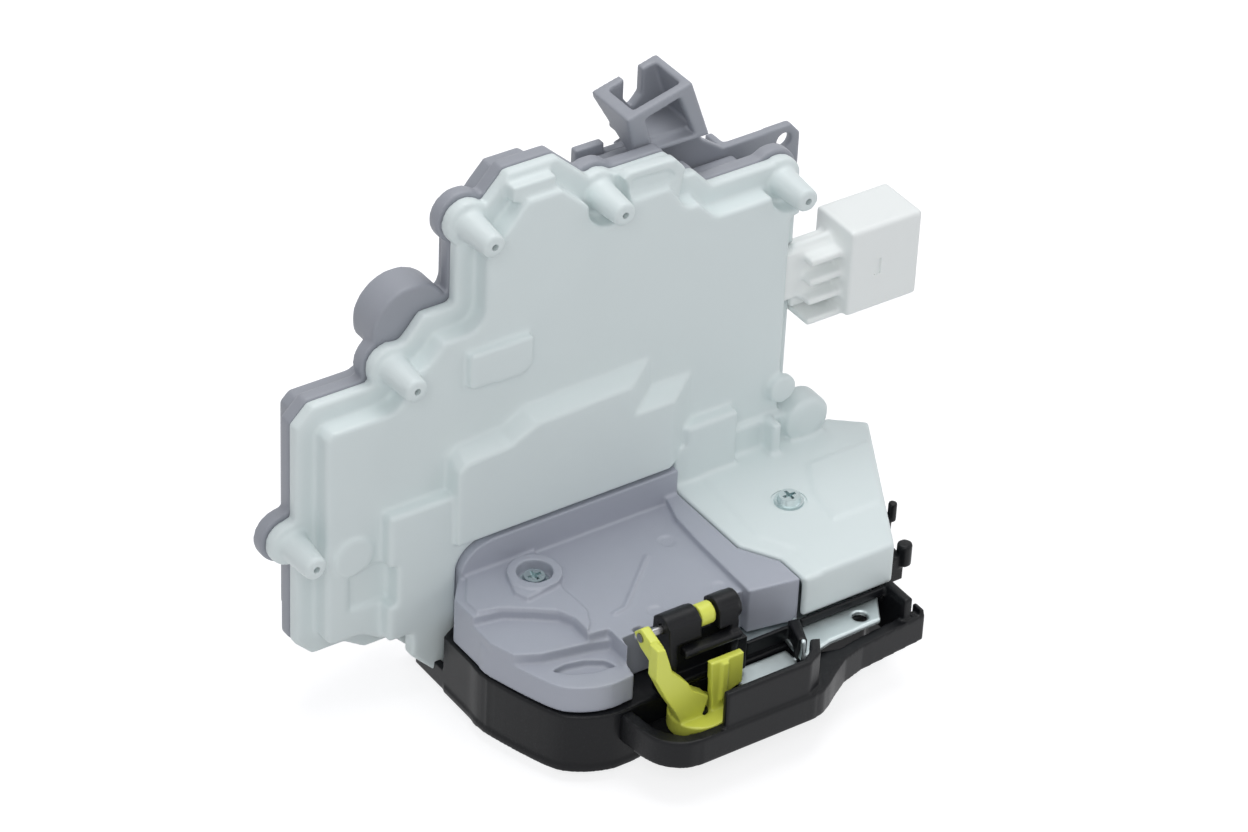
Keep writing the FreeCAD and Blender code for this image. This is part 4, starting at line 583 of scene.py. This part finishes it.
def post_ends():
    """The middle of the front end of each of the front cover's screw posts, in millimetres."""
    skin = NODES["front_cover"].data.vertices
    ends = []
    for low, high in islands("casing_screws"):
        middle = (low + high) / 2
        near = [v.co.y for v in skin if math.hypot(v.co.x - middle.x, v.co.z - middle.z) < 0.003]
        ends.append(Vector((middle.x, min(near), middle.z)) / MM)
    return ends


def plain(*nodes, look=None):
    """Give CAD nodes their finish as they are."""
    for node in nodes:
        data = NODES[node].data
        data.materials.clear()
        data.materials.append(look or finish(SLOT_OF[node]))


SCREW_INPUTS = (
    "Head Radius",
    "Head Height",
    "Flange Radius",
    "Recess Width",
    "Recess Length",
    "Recess Depth",
    "Shank Radius",
    "Shank Length",
)
HEAD_TAPER = 0.82
FLANGE_TAPER = 0.97
FLANGE_SHARE = 0.3
SHANK_SIDES = 20


def screw_tree():
    """Geometry Nodes: a screw with a cross recess on each point, turned to its direction."""
    tree = bpy.data.node_groups.new("screw heads", "GeometryNodeTree")
    face = tree.interface
    face.new_socket("Geometry", in_out="INPUT", socket_type="NodeSocketGeometry")
    for name in SCREW_INPUTS:
        face.new_socket(name, in_out="INPUT", socket_type="NodeSocketFloat")
    face.new_socket("Finish", in_out="INPUT", socket_type="NodeSocketMaterial")
    face.new_socket("Geometry", in_out="OUTPUT", socket_type="NodeSocketGeometry")
    t = Tree(tree)
    entry = t.add("NodeGroupInput").outputs

    def lifted(shape, height):
        """A shape moved up."""
        where = t.put(t.add("ShaderNodeCombineXYZ"), Z=height)
        lift = t.put(
            t.add("GeometryNodeTransform"), Geometry=shape, Translation=where.outputs[0]
        )
        return lift.outputs["Geometry"]

    def cylinder(radius, depth, base, taper=1.0, sides=ROUND_SIDES):
        """A cone on its base, whose top is the taper's share of its foot."""
        cone = t.put(
            t.add("GeometryNodeMeshCone"),
            Vertices=sides,
            Fill_Segments=1,
            Radius_Top=t.math("MULTIPLY", radius, taper),
            Radius_Bottom=radius,
            Depth=depth,
        )
        return lifted(cone.outputs["Mesh"], base)

    head_height, shank_length = entry["Head Height"], entry["Shank Length"]
    head = cylinder(entry["Head Radius"], head_height, 0.0, HEAD_TAPER)
    thin = t.math("MULTIPLY", head_height, FLANGE_SHARE)
    flange = cylinder(entry["Flange Radius"], thin, 0.0, FLANGE_TAPER)
    down = t.math("MULTIPLY", shank_length, -1.0)
    shank = cylinder(entry["Shank Radius"], shank_length, down, sides=SHANK_SIDES)
    cut = t.add("GeometryNodeMeshBoolean", operation="DIFFERENCE")
    t.link(head, cut.inputs["Mesh 1"])
    tall = t.math("MULTIPLY", entry["Recess Depth"], 2.0)
    for first, second in (("X", "Y"), ("Y", "X")):
        spans = {first: entry["Recess Length"], second: entry["Recess Width"], "Z": tall}
        across = t.put(t.add("ShaderNodeCombineXYZ"), **spans)
        bar = t.put(t.add("GeometryNodeMeshCube"), Size=across.outputs[0])
        t.link(lifted(bar.outputs["Mesh"], head_height), cut.inputs["Mesh 2"])
    whole = t.add("GeometryNodeJoinGeometry")
    for shape in (cut.outputs["Mesh"], flange, shank):
        t.link(shape, whole.inputs["Geometry"])
    points = t.put(t.add("GeometryNodeMeshToPoints"), Mesh=entry["Geometry"])
    along = t.add("GeometryNodeInputNamedAttribute", data_type="FLOAT_VECTOR")
    t.put(along, Name="along")
    aim = t.add("FunctionNodeAlignRotationToVector", axis="Z")
    t.put(aim, Vector=along.outputs["Attribute"])
    spread = t.put(
        t.add("GeometryNodeInstanceOnPoints"),
        Points=points.outputs["Points"],
        Instance=whole.outputs["Geometry"],
        Rotation=aim.outputs["Rotation"],
    )
    real = t.add("GeometryNodeRealizeInstances")
    t.link(spread.outputs["Instances"], real.inputs["Geometry"])
    painted(t, real.outputs["Geometry"], entry["Finish"])
    return tree


def painted(t, shape, material):
    """Give a shape its material and pass it out of the tree."""
    paint = t.put(t.add("GeometryNodeSetMaterial"), Geometry=shape, Material=material)
    t.put(t.add("NodeGroupOutput"), Geometry=paint.outputs["Geometry"])


def set_inputs(modifier, values):
    """Set a Geometry Nodes modifier's inputs by the identifiers of their sockets."""
    for item in modifier.node_group.interface.items_tree:
        if item.item_type == "SOCKET" and item.in_out == "INPUT" and item.name in values:
            modifier[item.identifier] = values[item.name]


def place_screws(name, places, values, node):
    """Grow screws at places, each a point and the direction that its head faces."""
    mesh = bpy.data.meshes.new(name + "_places")
    mesh.from_pydata([point for point, along in places], [], [])
    directions = mesh.attributes.new("along", "FLOAT_VECTOR", "POINT")
    for index, (point, along) in enumerate(places):
        directions.data[index].vector = along
    piece = bpy.data.objects.new(name, mesh)
    bpy.context.scene.collection.objects.link(piece)
    tree = bpy.data.node_groups.get("screw heads") or screw_tree()
    grow = piece.modifiers.new("screws", "NODES")
    grow.node_group = tree
    set_inputs(grow, {**values, "Finish": finish("screw_steel")})
    applied(piece)
    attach(piece, BODY_OF[node])
    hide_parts(node)


COIL_STEPS = 28
COIL_TURNS = 3.0
WIRE_SIDES = 8


def spring_tree():
    """Geometry Nodes: a coil of round wire about Z."""
    tree = bpy.data.node_groups.new("coil spring", "GeometryNodeTree")
    face = tree.interface
    face.new_socket("Geometry", in_out="INPUT", socket_type="NodeSocketGeometry")
    for name in ("Coil Radius", "Coil Height", "Turns", "Wire Radius"):
        face.new_socket(name, in_out="INPUT", socket_type="NodeSocketFloat")
    face.new_socket("Place", in_out="INPUT", socket_type="NodeSocketVector")
    face.new_socket("Finish", in_out="INPUT", socket_type="NodeSocketMaterial")
    face.new_socket("Geometry", in_out="OUTPUT", socket_type="NodeSocketGeometry")
    t = Tree(tree)
    entry = t.add("NodeGroupInput").outputs
    coil = t.put(
        t.add("GeometryNodeCurveSpiral"),
        Resolution=COIL_STEPS,
        Rotations=entry["Turns"],
        Start_Radius=entry["Coil Radius"],
        End_Radius=entry["Coil Radius"],
        Height=entry["Coil Height"],
    )
    profile = t.add("GeometryNodeCurvePrimitiveCircle")
    t.put(profile, Resolution=WIRE_SIDES, Radius=entry["Wire Radius"])
    wire = t.put(
        t.add("GeometryNodeCurveToMesh"),
        Curve=coil.outputs["Curve"],
        Profile_Curve=profile.outputs["Curve"],
        Fill_Caps=True,
    )
    smooth = t.put(t.add("GeometryNodeSetShadeSmooth"), Geometry=wire.outputs["Mesh"])
    move = t.put(
        t.add("GeometryNodeTransform"),
        Geometry=smooth.outputs["Geometry"],
        Translation=entry["Place"],
    )
    painted(t, move.outputs["Geometry"], entry["Finish"])
    return tree


class LatchStep(bpy.types.Operator):
    """Common form of the operators below."""

    bl_options = {"REGISTER", "UNDO"}

    def execute(self, context):
        self.make(context.scene)
        return {"FINISHED"}


# Forms that join or cut the copies of the solids, in millimetres. Outlines run in X and Y, blocks
# give their reach in X, Y and Z, and bars their two ends and their radius.

# Front cover: the posts' taper and holes, and the wells beside the two right posts.
POST_FOOT_Y = 34.5
POST_TIP_RADIUS = 3.1
POST_FOOT_RADIUS = 4.1
POST_HOLE_START = 2.0
POST_HOLE_DEPTH = 5.0
WELL_DEPTH = (20.0, 33.3)
WELL_RADIUS = 6.3
FIRST_WELL = 3
# The wall under the panel's right half, and the large round at its corner.
PANEL_WALLS = (
    ((21.9, 62.0), (26.6, 31.0), (34.5, 44.6)),
    ((21.9, 29.5), (24.4, 30.0), (34.5, 47.0)),
)
PANEL_ROUND = ((63.6, 24.2, 41.8), (63.6, 31.0, 41.8), 6.6)
# The roof's raised middle, the low platform on it and the sink round its screw.
ROOF_MIDDLE = [
    (31.0, 28.0),
    (29.8, 14.0),
    (28.2, -3.0),
    (33.4, -13.0),
    (34.2, -24.2),
    (55.4, -24.2),
    (80.9, 21.3),
    (72.6, 28.0),
]
ROOF_MIDDLE_LEVELS = (35.0, 36.45)
ROOF_PLATFORM = [(56.8, 13.8), (50.8, 3.4), (48.5, -8.5), (63.5, -8.2), (76.0, 14.0)]
ROOF_PLATFORM_LEVELS = (35.0, 37.0)
SCREW_SINK_LEVELS = (36.05, 39.0)
SCREW_SINK_RADIUS = 4.7

# Rear housing: a wall that closes the casing beside the sunk screw at the cup.
SUNK_SCREW = 1
SLEEVE_SHIFT = (2.8, -1.1)
SLEEVE_DEPTH = (40.0, 48.8)
SLEEVE_RADIUS = 4.2
BORE_DEPTH = (41.2, 50.0)
BORE_RADIUS = 4.4

# Latch cover and latch frame: smooth sides over the faceted ones.
COVER_SIDE = [
    (-48.9, 12.0),
    (-48.9, 6.0),
    (-48.8, 0.0),
    (-43.0, -17.0),
    (-38.5, -22.5),
    (-31.5, -25.5),
    (-24.0, -25.5),
]
COVER_WALL = 1.8
COVER_LEVELS = (20.4, 27.9)
FRAME_SIDE = [
    (-49.5, 19.0),
    (-49.5, 9.0),
    (-49.4, 0.0),
    (-43.5, -18.0),
    (-38.5, -24.0),
    (-30.5, -27.5),
    (-22.0, -27.5),
]
FRAME_WALL = 2.0
FRAME_LEVELS = (2.9, 19.9)
FRAME_LIP_GROWTH = (1.008, 1.012)
FRAME_LIP_TOP = 4.6
# The foot of the frame's left side, which runs on behind the cover.
FRAME_FOOT = ((-49.5, -47.5), (18.0, 32.8), (2.9, 9.0))
# Two bump stops that show beside the roof, and the blocks that carry them.
BUMP_STOPS = (
    ((69.9, -5.2, 26.0), (69.9, -5.2, 31.6), 1.2),
    ((64.4, -18.0, 22.5), (64.4, -18.0, 29.0), 2.0),
)
STOP_BLOCKS = (
    ((58.0, 64.0), (-18.6, -13.0), (18.0, 25.5)),
    ((63.0, 69.8), (-5.8, -2.0), (18.0, 27.5)),
)

# Guard rail: its smooth side, its fin, the wedge behind the fin and three strips.
RAIL_SIDE = [
    (-28.5, -27.6),
    (-27.5, -36.0),
    (-25.5, -41.0),
    (-21.5, -44.6),
    (-16.5, -45.85),
    (0.0, -45.85),
    (17.0, -45.85),
    (22.0, -44.4),
    (27.0, -41.2),
    (32.0, -38.2),
    (38.6, -36.4),
    (49.0, -35.4),
    (59.4, -34.4),
]
RAIL_WALL = 2.2
RAIL_LEVELS = (11.2, 18.9)
RAIL_FIN = [
    (-9.6, -45.3),
    (15.5, -45.3),
    (19.6, -43.4),
    (22.8, -38.6),
    (20.4, -37.6),
    (18.0, -41.2),
    (14.6, -43.3),
    (-9.6, -43.3),
]
RAIL_FIN_LEVELS = (17.0, 29.4)
RAIL_WEDGE = [(20.2, -33.2), (22.2, -34.6), (25.7, -26.2), (22.6, -25.6)]
RAIL_WEDGE_LEVELS = (18.0, 26.4)
RAIL_STRIPS = (
    ((27.0, 53.8), (-25.5, -24.5), (21.9, 24.3)),
    ((9.5, 25.0), (-26.8, -25.6), (20.6, 25.0)),
    ((53.2, 55.6), (-33.6, -24.5), (17.0, 25.2)),
)

# Back plate: the small plate in the well behind the rail.
WELL_PLATE = [
    (2.6, -30.5),
    (3.6, -38.6),
    (17.4, -38.6),
    (20.6, -33.0),
    (20.6, -28.2),
    (3.0, -28.2),
]
WELL_PLATE_LEVELS = (18.6, 19.7)

# Coupling: the ear in the middle of its pin. Connector: the filled neck and the mark.
MIDDLE_EAR = (-7.9, -3.7)
MIDDLE_EAR_RADIUS = 2.9
PLUG_NECK = ((60.5, 74.0), (31.2, 33.4), (73.4, 92.4))
PLUG_MARK = ((80.4, 82.4), (22.0, 23.5), (81.4, 86.2))

# Screws, in metres: how far a head's seat lies under its top.
SEAT_DEPTH = 0.0022
CASE_SEAT_DEPTH = 0.0023


class LATCH_OT_casing(LatchStep):
    """Front cover and rear housing of the actuator casing"""

    bl_idname = "latch.casing"
    bl_label = "Casing"

    def make(self, scene):
        edges = scene.latch_edges
        ends = post_ends()
        wells = Forms()
        for end in ends[FIRST_WELL:]:
            wells.along_y((end.x, end.z), WELL_DEPTH, WELL_RADIUS)
        extra = Forms()
        for end in ends:
            foot = (end.x, POST_FOOT_Y, end.z)
            extra.round(end, foot, POST_TIP_RADIUS, POST_FOOT_RADIUS)
        for wall in PANEL_WALLS:
            extra.block(*wall)
        extra.round(*PANEL_ROUND)
        extra.prism(ROOF_MIDDLE, *ROOF_MIDDLE_LEVELS)
        extra.prism(ROOF_PLATFORM, *ROOF_PLATFORM_LEVELS)
        holes = Forms()
        for end in ends:
            depth = (end.y - POST_HOLE_START, end.y + POST_HOLE_DEPTH)
            holes.along_y((end.x, end.z), depth, edges.post_hole / MM)
        low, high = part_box("roof_screw")
        screw = (low + high) / 2 / MM
        bottom, top = ((screw.x, screw.y, level) for level in SCREW_SINK_LEVELS)
        holes.round(bottom, top, SCREW_SINK_RADIUS)
        rounded(
            "front_cover",
            edges.cover_round,
            softening=edges.cover_passes,
            keep=KEEP_SHELL,
            cut=wells.mesh("post_wells"),
            added=extra.mesh("cover_forms"),
            holes=holes.mesh("cover_holes"),
        )
        sunk = ends[SUNK_SCREW]
        beside = (sunk.x + SLEEVE_SHIFT[0], sunk.z + SLEEVE_SHIFT[1])
        sleeve = Forms().along_y(beside, SLEEVE_DEPTH, SLEEVE_RADIUS)
        bore = Forms().along_y((sunk.x, sunk.z), BORE_DEPTH, BORE_RADIUS)
        rounded(
            "rear_housing",
            edges.casing_round,
            softening=edges.case_passes,
            keep=KEEP_SHELL,
            added=sleeve.mesh("screw_sleeve"),
            holes=bore.mesh("screw_bore"),
        )
        plain("casing_seal")


class LATCH_OT_latch_box(LatchStep):
    """Latch cover, latch frame and guard rail"""

    bl_idname = "latch.latch_box"
    bl_label = "Latch box"

    def make(self, scene):
        edges = scene.latch_edges
        side = Forms().curved_wall(COVER_SIDE, COVER_WALL, *COVER_LEVELS)
        rounded(
            "latch_cover",
            edges.floor_round,
            finish("floor_plastic"),
            softening=edges.floor_passes,
            added=side.mesh("cover_side"),
        )
        frame_forms = Forms().curved_wall(FRAME_SIDE, FRAME_WALL, *FRAME_LEVELS)
        grow_x, grow_y = FRAME_LIP_GROWTH
        lip = [(x * grow_x, y * grow_y) for x, y in FRAME_SIDE]
        frame_forms.curved_wall(lip, FRAME_WALL, FRAME_LEVELS[0], FRAME_LIP_TOP)
        frame_forms.block(*FRAME_FOOT)
        for stop in BUMP_STOPS:
            frame_forms.round(*stop)
        for block in STOP_BLOCKS:
            frame_forms.block(*block)
        rounded("latch_frame", edges.frame_round, added=frame_forms.mesh("frame_forms"))
        rail = Forms().curved_wall(RAIL_SIDE, RAIL_WALL, *RAIL_LEVELS)
        rail.prism(RAIL_FIN, *RAIL_FIN_LEVELS)
        rail.prism(RAIL_WEDGE, *RAIL_WEDGE_LEVELS)
        for strip in RAIL_STRIPS:
            rail.block(*strip)
        rounded("guard_rail", edges.frame_round, added=rail.mesh("rail_forms"))


class LATCH_OT_steel_plates(LatchStep):
    """Face plate and back plate"""

    bl_idname = "latch.steel_plates"
    bl_label = "Steel plates"

    def make(self, scene):
        edge = scene.latch_edges.steel_break
        rounded("face_plate", edge)
        well = Forms().prism(WELL_PLATE, *WELL_PLATE_LEVELS)
        rounded("back_plate", edge, added=well.mesh("well_plate"))


class LATCH_OT_catch(LatchStep):
    """Claw and pawl with their jackets, pins and springs"""

    bl_idname = "latch.catch"
    bl_label = "Claw and pawl"

    def make(self, scene):
        for lever in ("claw", "pawl"):
            plain(lever, lever + "_jacket", lever + "_pin")
        plain("striker_bumper")
        for node in ("claw_spring", "pawl_spring"):
            low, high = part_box(node)
            wire = scene.latch_fasteners.wire_radius
            mesh = bpy.data.meshes.new(node + "_start")
            piece = bpy.data.objects.new(node + "_wire", mesh)
            bpy.context.scene.collection.objects.link(piece)
            grow = piece.modifiers.new("coil", "NODES")
            grow.node_group = bpy.data.node_groups.get("coil spring") or spring_tree()
            middle = (low + high) / 2
            set_inputs(grow, {
                "Coil Radius": (high.x - low.x) / 2 - wire,
                "Coil Height": high.z - low.z - 2 * wire,
                "Turns": COIL_TURNS,
                "Wire Radius": wire,
                "Place": (middle.x, middle.y, low.z + wire),
                "Finish": finish("spring_steel"),
            })
            applied(piece)
            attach(piece, BODY_OF[node])
            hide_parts(node)


class LATCH_OT_handle_parts(LatchStep):
    """Yellow coupling at the outside handle, with its black lever and pin"""

    bl_idname = "latch.handle_parts"
    bl_label = "Handle coupling"

    def make(self, scene):
        low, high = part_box("handle_lever_pin")
        axis = (low + high) / 2 / MM
        left, right = ((x, axis.y, axis.z) for x in MIDDLE_EAR)
        ear = Forms().round(left, right, MIDDLE_EAR_RADIUS)
        rounded("handle_coupling", scene.latch_edges.small_round, added=ear.mesh("middle_ear"))
        rounded("handle_lever", scene.latch_edges.small_round)
        plain("handle_lever_pin", look=finish("spring_steel"))


class LATCH_OT_bracket(LatchStep):
    """Cable bracket with the inside release lever"""

    bl_idname = "latch.bracket"
    bl_label = "Cable bracket"

    def make(self, scene):
        edges = scene.latch_edges
        width = edges.casing_round * BRACKET_SHARE
        rounded("cable_bracket", width, softening=edges.case_passes)
        rounded("inside_lever", edges.small_round)
        plain("inside_lever_pin")


class LATCH_OT_connector(LatchStep):
    """Connector housing and its terminals"""

    bl_idname = "latch.connector"
    bl_label = "Connector"

    def make(self, scene):
        edges = scene.latch_edges
        neck = Forms().block(*PLUG_NECK)
        mark = Forms().block(*PLUG_MARK)
        rounded(
            "connector_housing",
            edges.cover_round,
            finish("plug_plastic"),
            softening=edges.plug_passes,
            added=neck.mesh("connector_neck"),
            holes=mark.mesh("connector_mark"),
        )
        plain("connector_terminals")


class LATCH_OT_drives(LatchStep):
    """Motors, worms, wheels, levers and switches inside the casing"""

    bl_idname = "latch.drives"
    bl_label = "Drives"

    def make(self, scene):
        for drive in ("lock", "safe"):
            plain(drive + "_motor", drive + "_motor_shaft", drive + "_worm", drive + "_wheel")
            plain(drive + "_wheel_axle", drive + "_lever", drive + "_lever_pin")
        plain("contact_carrier", "position_switches")


class LATCH_OT_screws(LatchStep):
    """Screws of the casing and of the latch"""

    bl_idname = "latch.screws"
    bl_label = "Screws"

    def make(self, scene):
        sizes = scene.latch_fasteners
        values = {
            "Head Radius": sizes.head_radius,
            "Head Height": sizes.head_height,
            "Flange Radius": sizes.flange_radius,
            "Recess Width": sizes.recess_width,
            "Recess Length": sizes.recess_length,
            "Recess Depth": sizes.recess_depth,
            "Shank Radius": sizes.shank_radius,
        }
        for node in ("floor_screw", "roof_screw"):
            low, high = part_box(node)
            seat = high.z - SEAT_DEPTH
            place = ((low.x + high.x) / 2, (low.y + high.y) / 2, seat)
            own = {**values, "Shank Length": seat - low.z}
            place_screws(node + "_turned", [(place, (0.0, 0.0, 1.0))], own, node)
        places = []
        for low, high in islands("casing_screws"):
            seat = ((low.x + high.x) / 2, high.y - CASE_SEAT_DEPTH, (low.z + high.z) / 2)
            places.append((seat, (0.0, 1.0, 0.0)))
        small = {
            "Head Radius": sizes.case_head_radius,
            "Head Height": sizes.case_head_height,
            "Flange Radius": sizes.case_flange_radius,
            "Shank Radius": sizes.case_shank_radius,
            "Shank Length": high.y - CASE_SEAT_DEPTH - low.y,
        }
        place_screws("casing_screws_turned", places, {**values, **small}, "casing_screws")


# Stage: the floor's half width and its gap to the part, and the lamps as name, width and place.
FLOOR_REACH = 3.0
FLOOR_GAP = 0.0002
FLOOR_PALE = (0.80, 0.80, 0.80, 1.0)
FLOOR_SHADED = (0.45, 0.45, 0.46, 1.0)
FLOOR_GLOW = 0.76
LAMPS = (
    ("key", 0.55, (-0.62, -0.75, 0.85)),
    ("fill", 0.70, (0.80, -0.70, 0.45)),
    ("top", 0.80, (0.15, 0.20, 1.10)),
)
LAMP_AIM = Vector((0.0, 0.02, 0.06))
SKY_COLOUR = (0.93, 0.95, 1.0, 1.0)

# The camera that matches the photograph: its place and its own right, up and back.
CAMERA_PLACE = (-0.54671, -0.74511, 0.74223)
CAMERA_AXES = (
    Vector((0.82810, -0.55917, 0.03972)),
    Vector((0.29927, 0.50089, 0.81213)),
    Vector((-0.47401, -0.66064, 0.58212)),
)
SENSOR_WIDTH = 36.0
CLIP_RANGE = (0.05, 20.0)


class LATCH_OT_stage(LatchStep):
    """Floor, lamps, sky and camera"""

    bl_idname = "latch.stage"
    bl_label = "Stage"

    def make(self, scene):
        settings = scene.latch_stage
        floor = add_floor(scene)
        for name, width, place in LAMPS:
            data = bpy.data.lights.new(name + "_lamp", "AREA")
            data.energy = getattr(settings, name + "_power")
            data.size = width
            lamp = bpy.data.objects.new(name + "_lamp", data)
            lamp.location = place
            aim = LAMP_AIM - lamp.location
            lamp.rotation_euler = aim.to_track_quat("-Z", "Y").to_euler()
            scene.collection.objects.link(lamp)
        add_sky(scene, settings.sky_strength)
        scene.view_settings.view_transform = "Standard"
        add_camera(scene, settings.lens)


def add_floor(scene):
    """A wide floor just under the part."""
    mesh = bpy.data.meshes.new("floor")
    reach, level = FLOOR_REACH, FLOOR_Z - FLOOR_GAP
    corners = [(-reach, -reach), (reach, -reach), (reach, reach), (-reach, reach)]
    mesh.from_pydata([(x, y, level) for x, y in corners], [], [(0, 1, 2, 3)])
    mesh.materials.append(floor_finish())
    floor = bpy.data.objects.new("studio_floor", mesh)
    scene.collection.objects.link(floor)
    return floor


def add_sky(scene, strength):
    """Even light from all round, seen as plain white."""
    world = bpy.data.worlds.new("studio")
    scene.world = world
    world.use_nodes = True
    t = Tree(world.node_tree)
    world.node_tree.nodes.clear()
    lit = t.put(t.add("ShaderNodeBackground"), Color=SKY_COLOUR, Strength=strength)
    shown = t.put(t.add("ShaderNodeBackground"), Color=WHITE, Strength=1.0)
    mix = t.add("ShaderNodeMixShader")
    t.link(background_rays(t), mix.inputs[0])
    t.link(lit.outputs[0], mix.inputs[1])
    t.link(shown.outputs[0], mix.inputs[2])
    out = t.add("ShaderNodeOutputWorld")
    t.link(mix.outputs[0], out.inputs["Surface"])


def add_camera(scene, lens):
    """The camera at the photograph's place."""
    data = bpy.data.cameras.new("studio_camera")
    data.lens = lens
    data.sensor_width = SENSOR_WIDTH
    data.clip_start, data.clip_end = CLIP_RANGE
    camera = bpy.data.objects.new("studio_camera", data)
    scene.collection.objects.link(camera)
    turn = Matrix(CAMERA_AXES).transposed().to_4x4()
    camera.matrix_world = Matrix.Translation(CAMERA_PLACE) @ turn
    scene.camera = camera
    return camera


def background_rays(t):
    """1 for the rays by which the camera, polished metal and glass see the background."""
    path = t.add("ShaderNodeLightPath")
    seen = path.outputs["Is Camera Ray"]
    for name in ("Is Glossy Ray", "Is Transmission Ray"):
        seen = t.math("MAXIMUM", seen, path.outputs[name])
    return seen


def floor_finish():
    """A pale floor that the camera sees as white except where the object shades it."""
    material = bpy.data.materials.new("studio_floor")
    material.use_nodes = True
    material.node_tree.nodes.clear()
    t = Tree(material.node_tree)
    pale = t.put(t.add("ShaderNodeBsdfDiffuse"), Color=FLOOR_PALE)
    shaded = t.put(t.add("ShaderNodeBsdfDiffuse"), Color=FLOOR_SHADED)
    glow = t.put(t.add("ShaderNodeEmission"), Color=WHITE, Strength=FLOOR_GLOW)
    both = t.add("ShaderNodeAddShader")
    t.link(shaded.outputs[0], both.inputs[0])
    t.link(glow.outputs[0], both.inputs[1])
    mix = t.add("ShaderNodeMixShader")
    t.link(background_rays(t), mix.inputs[0])
    t.link(pale.outputs[0], mix.inputs[1])
    t.link(both.outputs[0], mix.inputs[2])
    out = t.add("ShaderNodeOutputMaterial")
    t.link(mix.outputs[0], out.inputs["Surface"])
    return material


STEPS = (
    LATCH_OT_casing,
    LATCH_OT_latch_box,
    LATCH_OT_steel_plates,
    LATCH_OT_catch,
    LATCH_OT_handle_parts,
    LATCH_OT_bracket,
    LATCH_OT_connector,
    LATCH_OT_drives,
    LATCH_OT_screws,
    LATCH_OT_stage,
)


class LATCH_PT_panel(bpy.types.Panel):
    """Sizes, colours and steps of the latch"""

    bl_idname = "LATCH_PT_panel"
    bl_label = "Door latch actuator"
    bl_space_type = "VIEW_3D"
    bl_region_type = "UI"
    bl_category = "Latch"

    def draw(self, context):
        scene = context.scene
        for key in GROUPS:
            group = getattr(scene, key)
            box = self.layout.box()
            for name in group.__annotations__:
                box.prop(group, name)
        for step in STEPS:
            self.layout.operator(step.bl_idname)


GROUPS = {
    "latch_colours": LatchColours,
    "latch_edges": LatchEdges,
    "latch_fasteners": LatchFasteners,
    "latch_stage": LatchStage,
}


def register():
    for name, group in GROUPS.items():
        bpy.utils.register_class(group)
        setattr(bpy.types.Scene, name, PointerProperty(type=group))
    for step in STEPS:
        bpy.utils.register_class(step)
    bpy.utils.register_class(LATCH_PT_panel)


def unregister():
    bpy.utils.unregister_class(LATCH_PT_panel)
    for step in reversed(STEPS):
        bpy.utils.unregister_class(step)
    for name, group in GROUPS.items():
        delattr(bpy.types.Scene, name)
        bpy.utils.unregister_class(group)


def main():
    register()
    for step in STEPS:
        group, name = step.bl_idname.split(".")
        getattr(getattr(bpy.ops, group), name)()


if __name__ == "__main__":
    main()
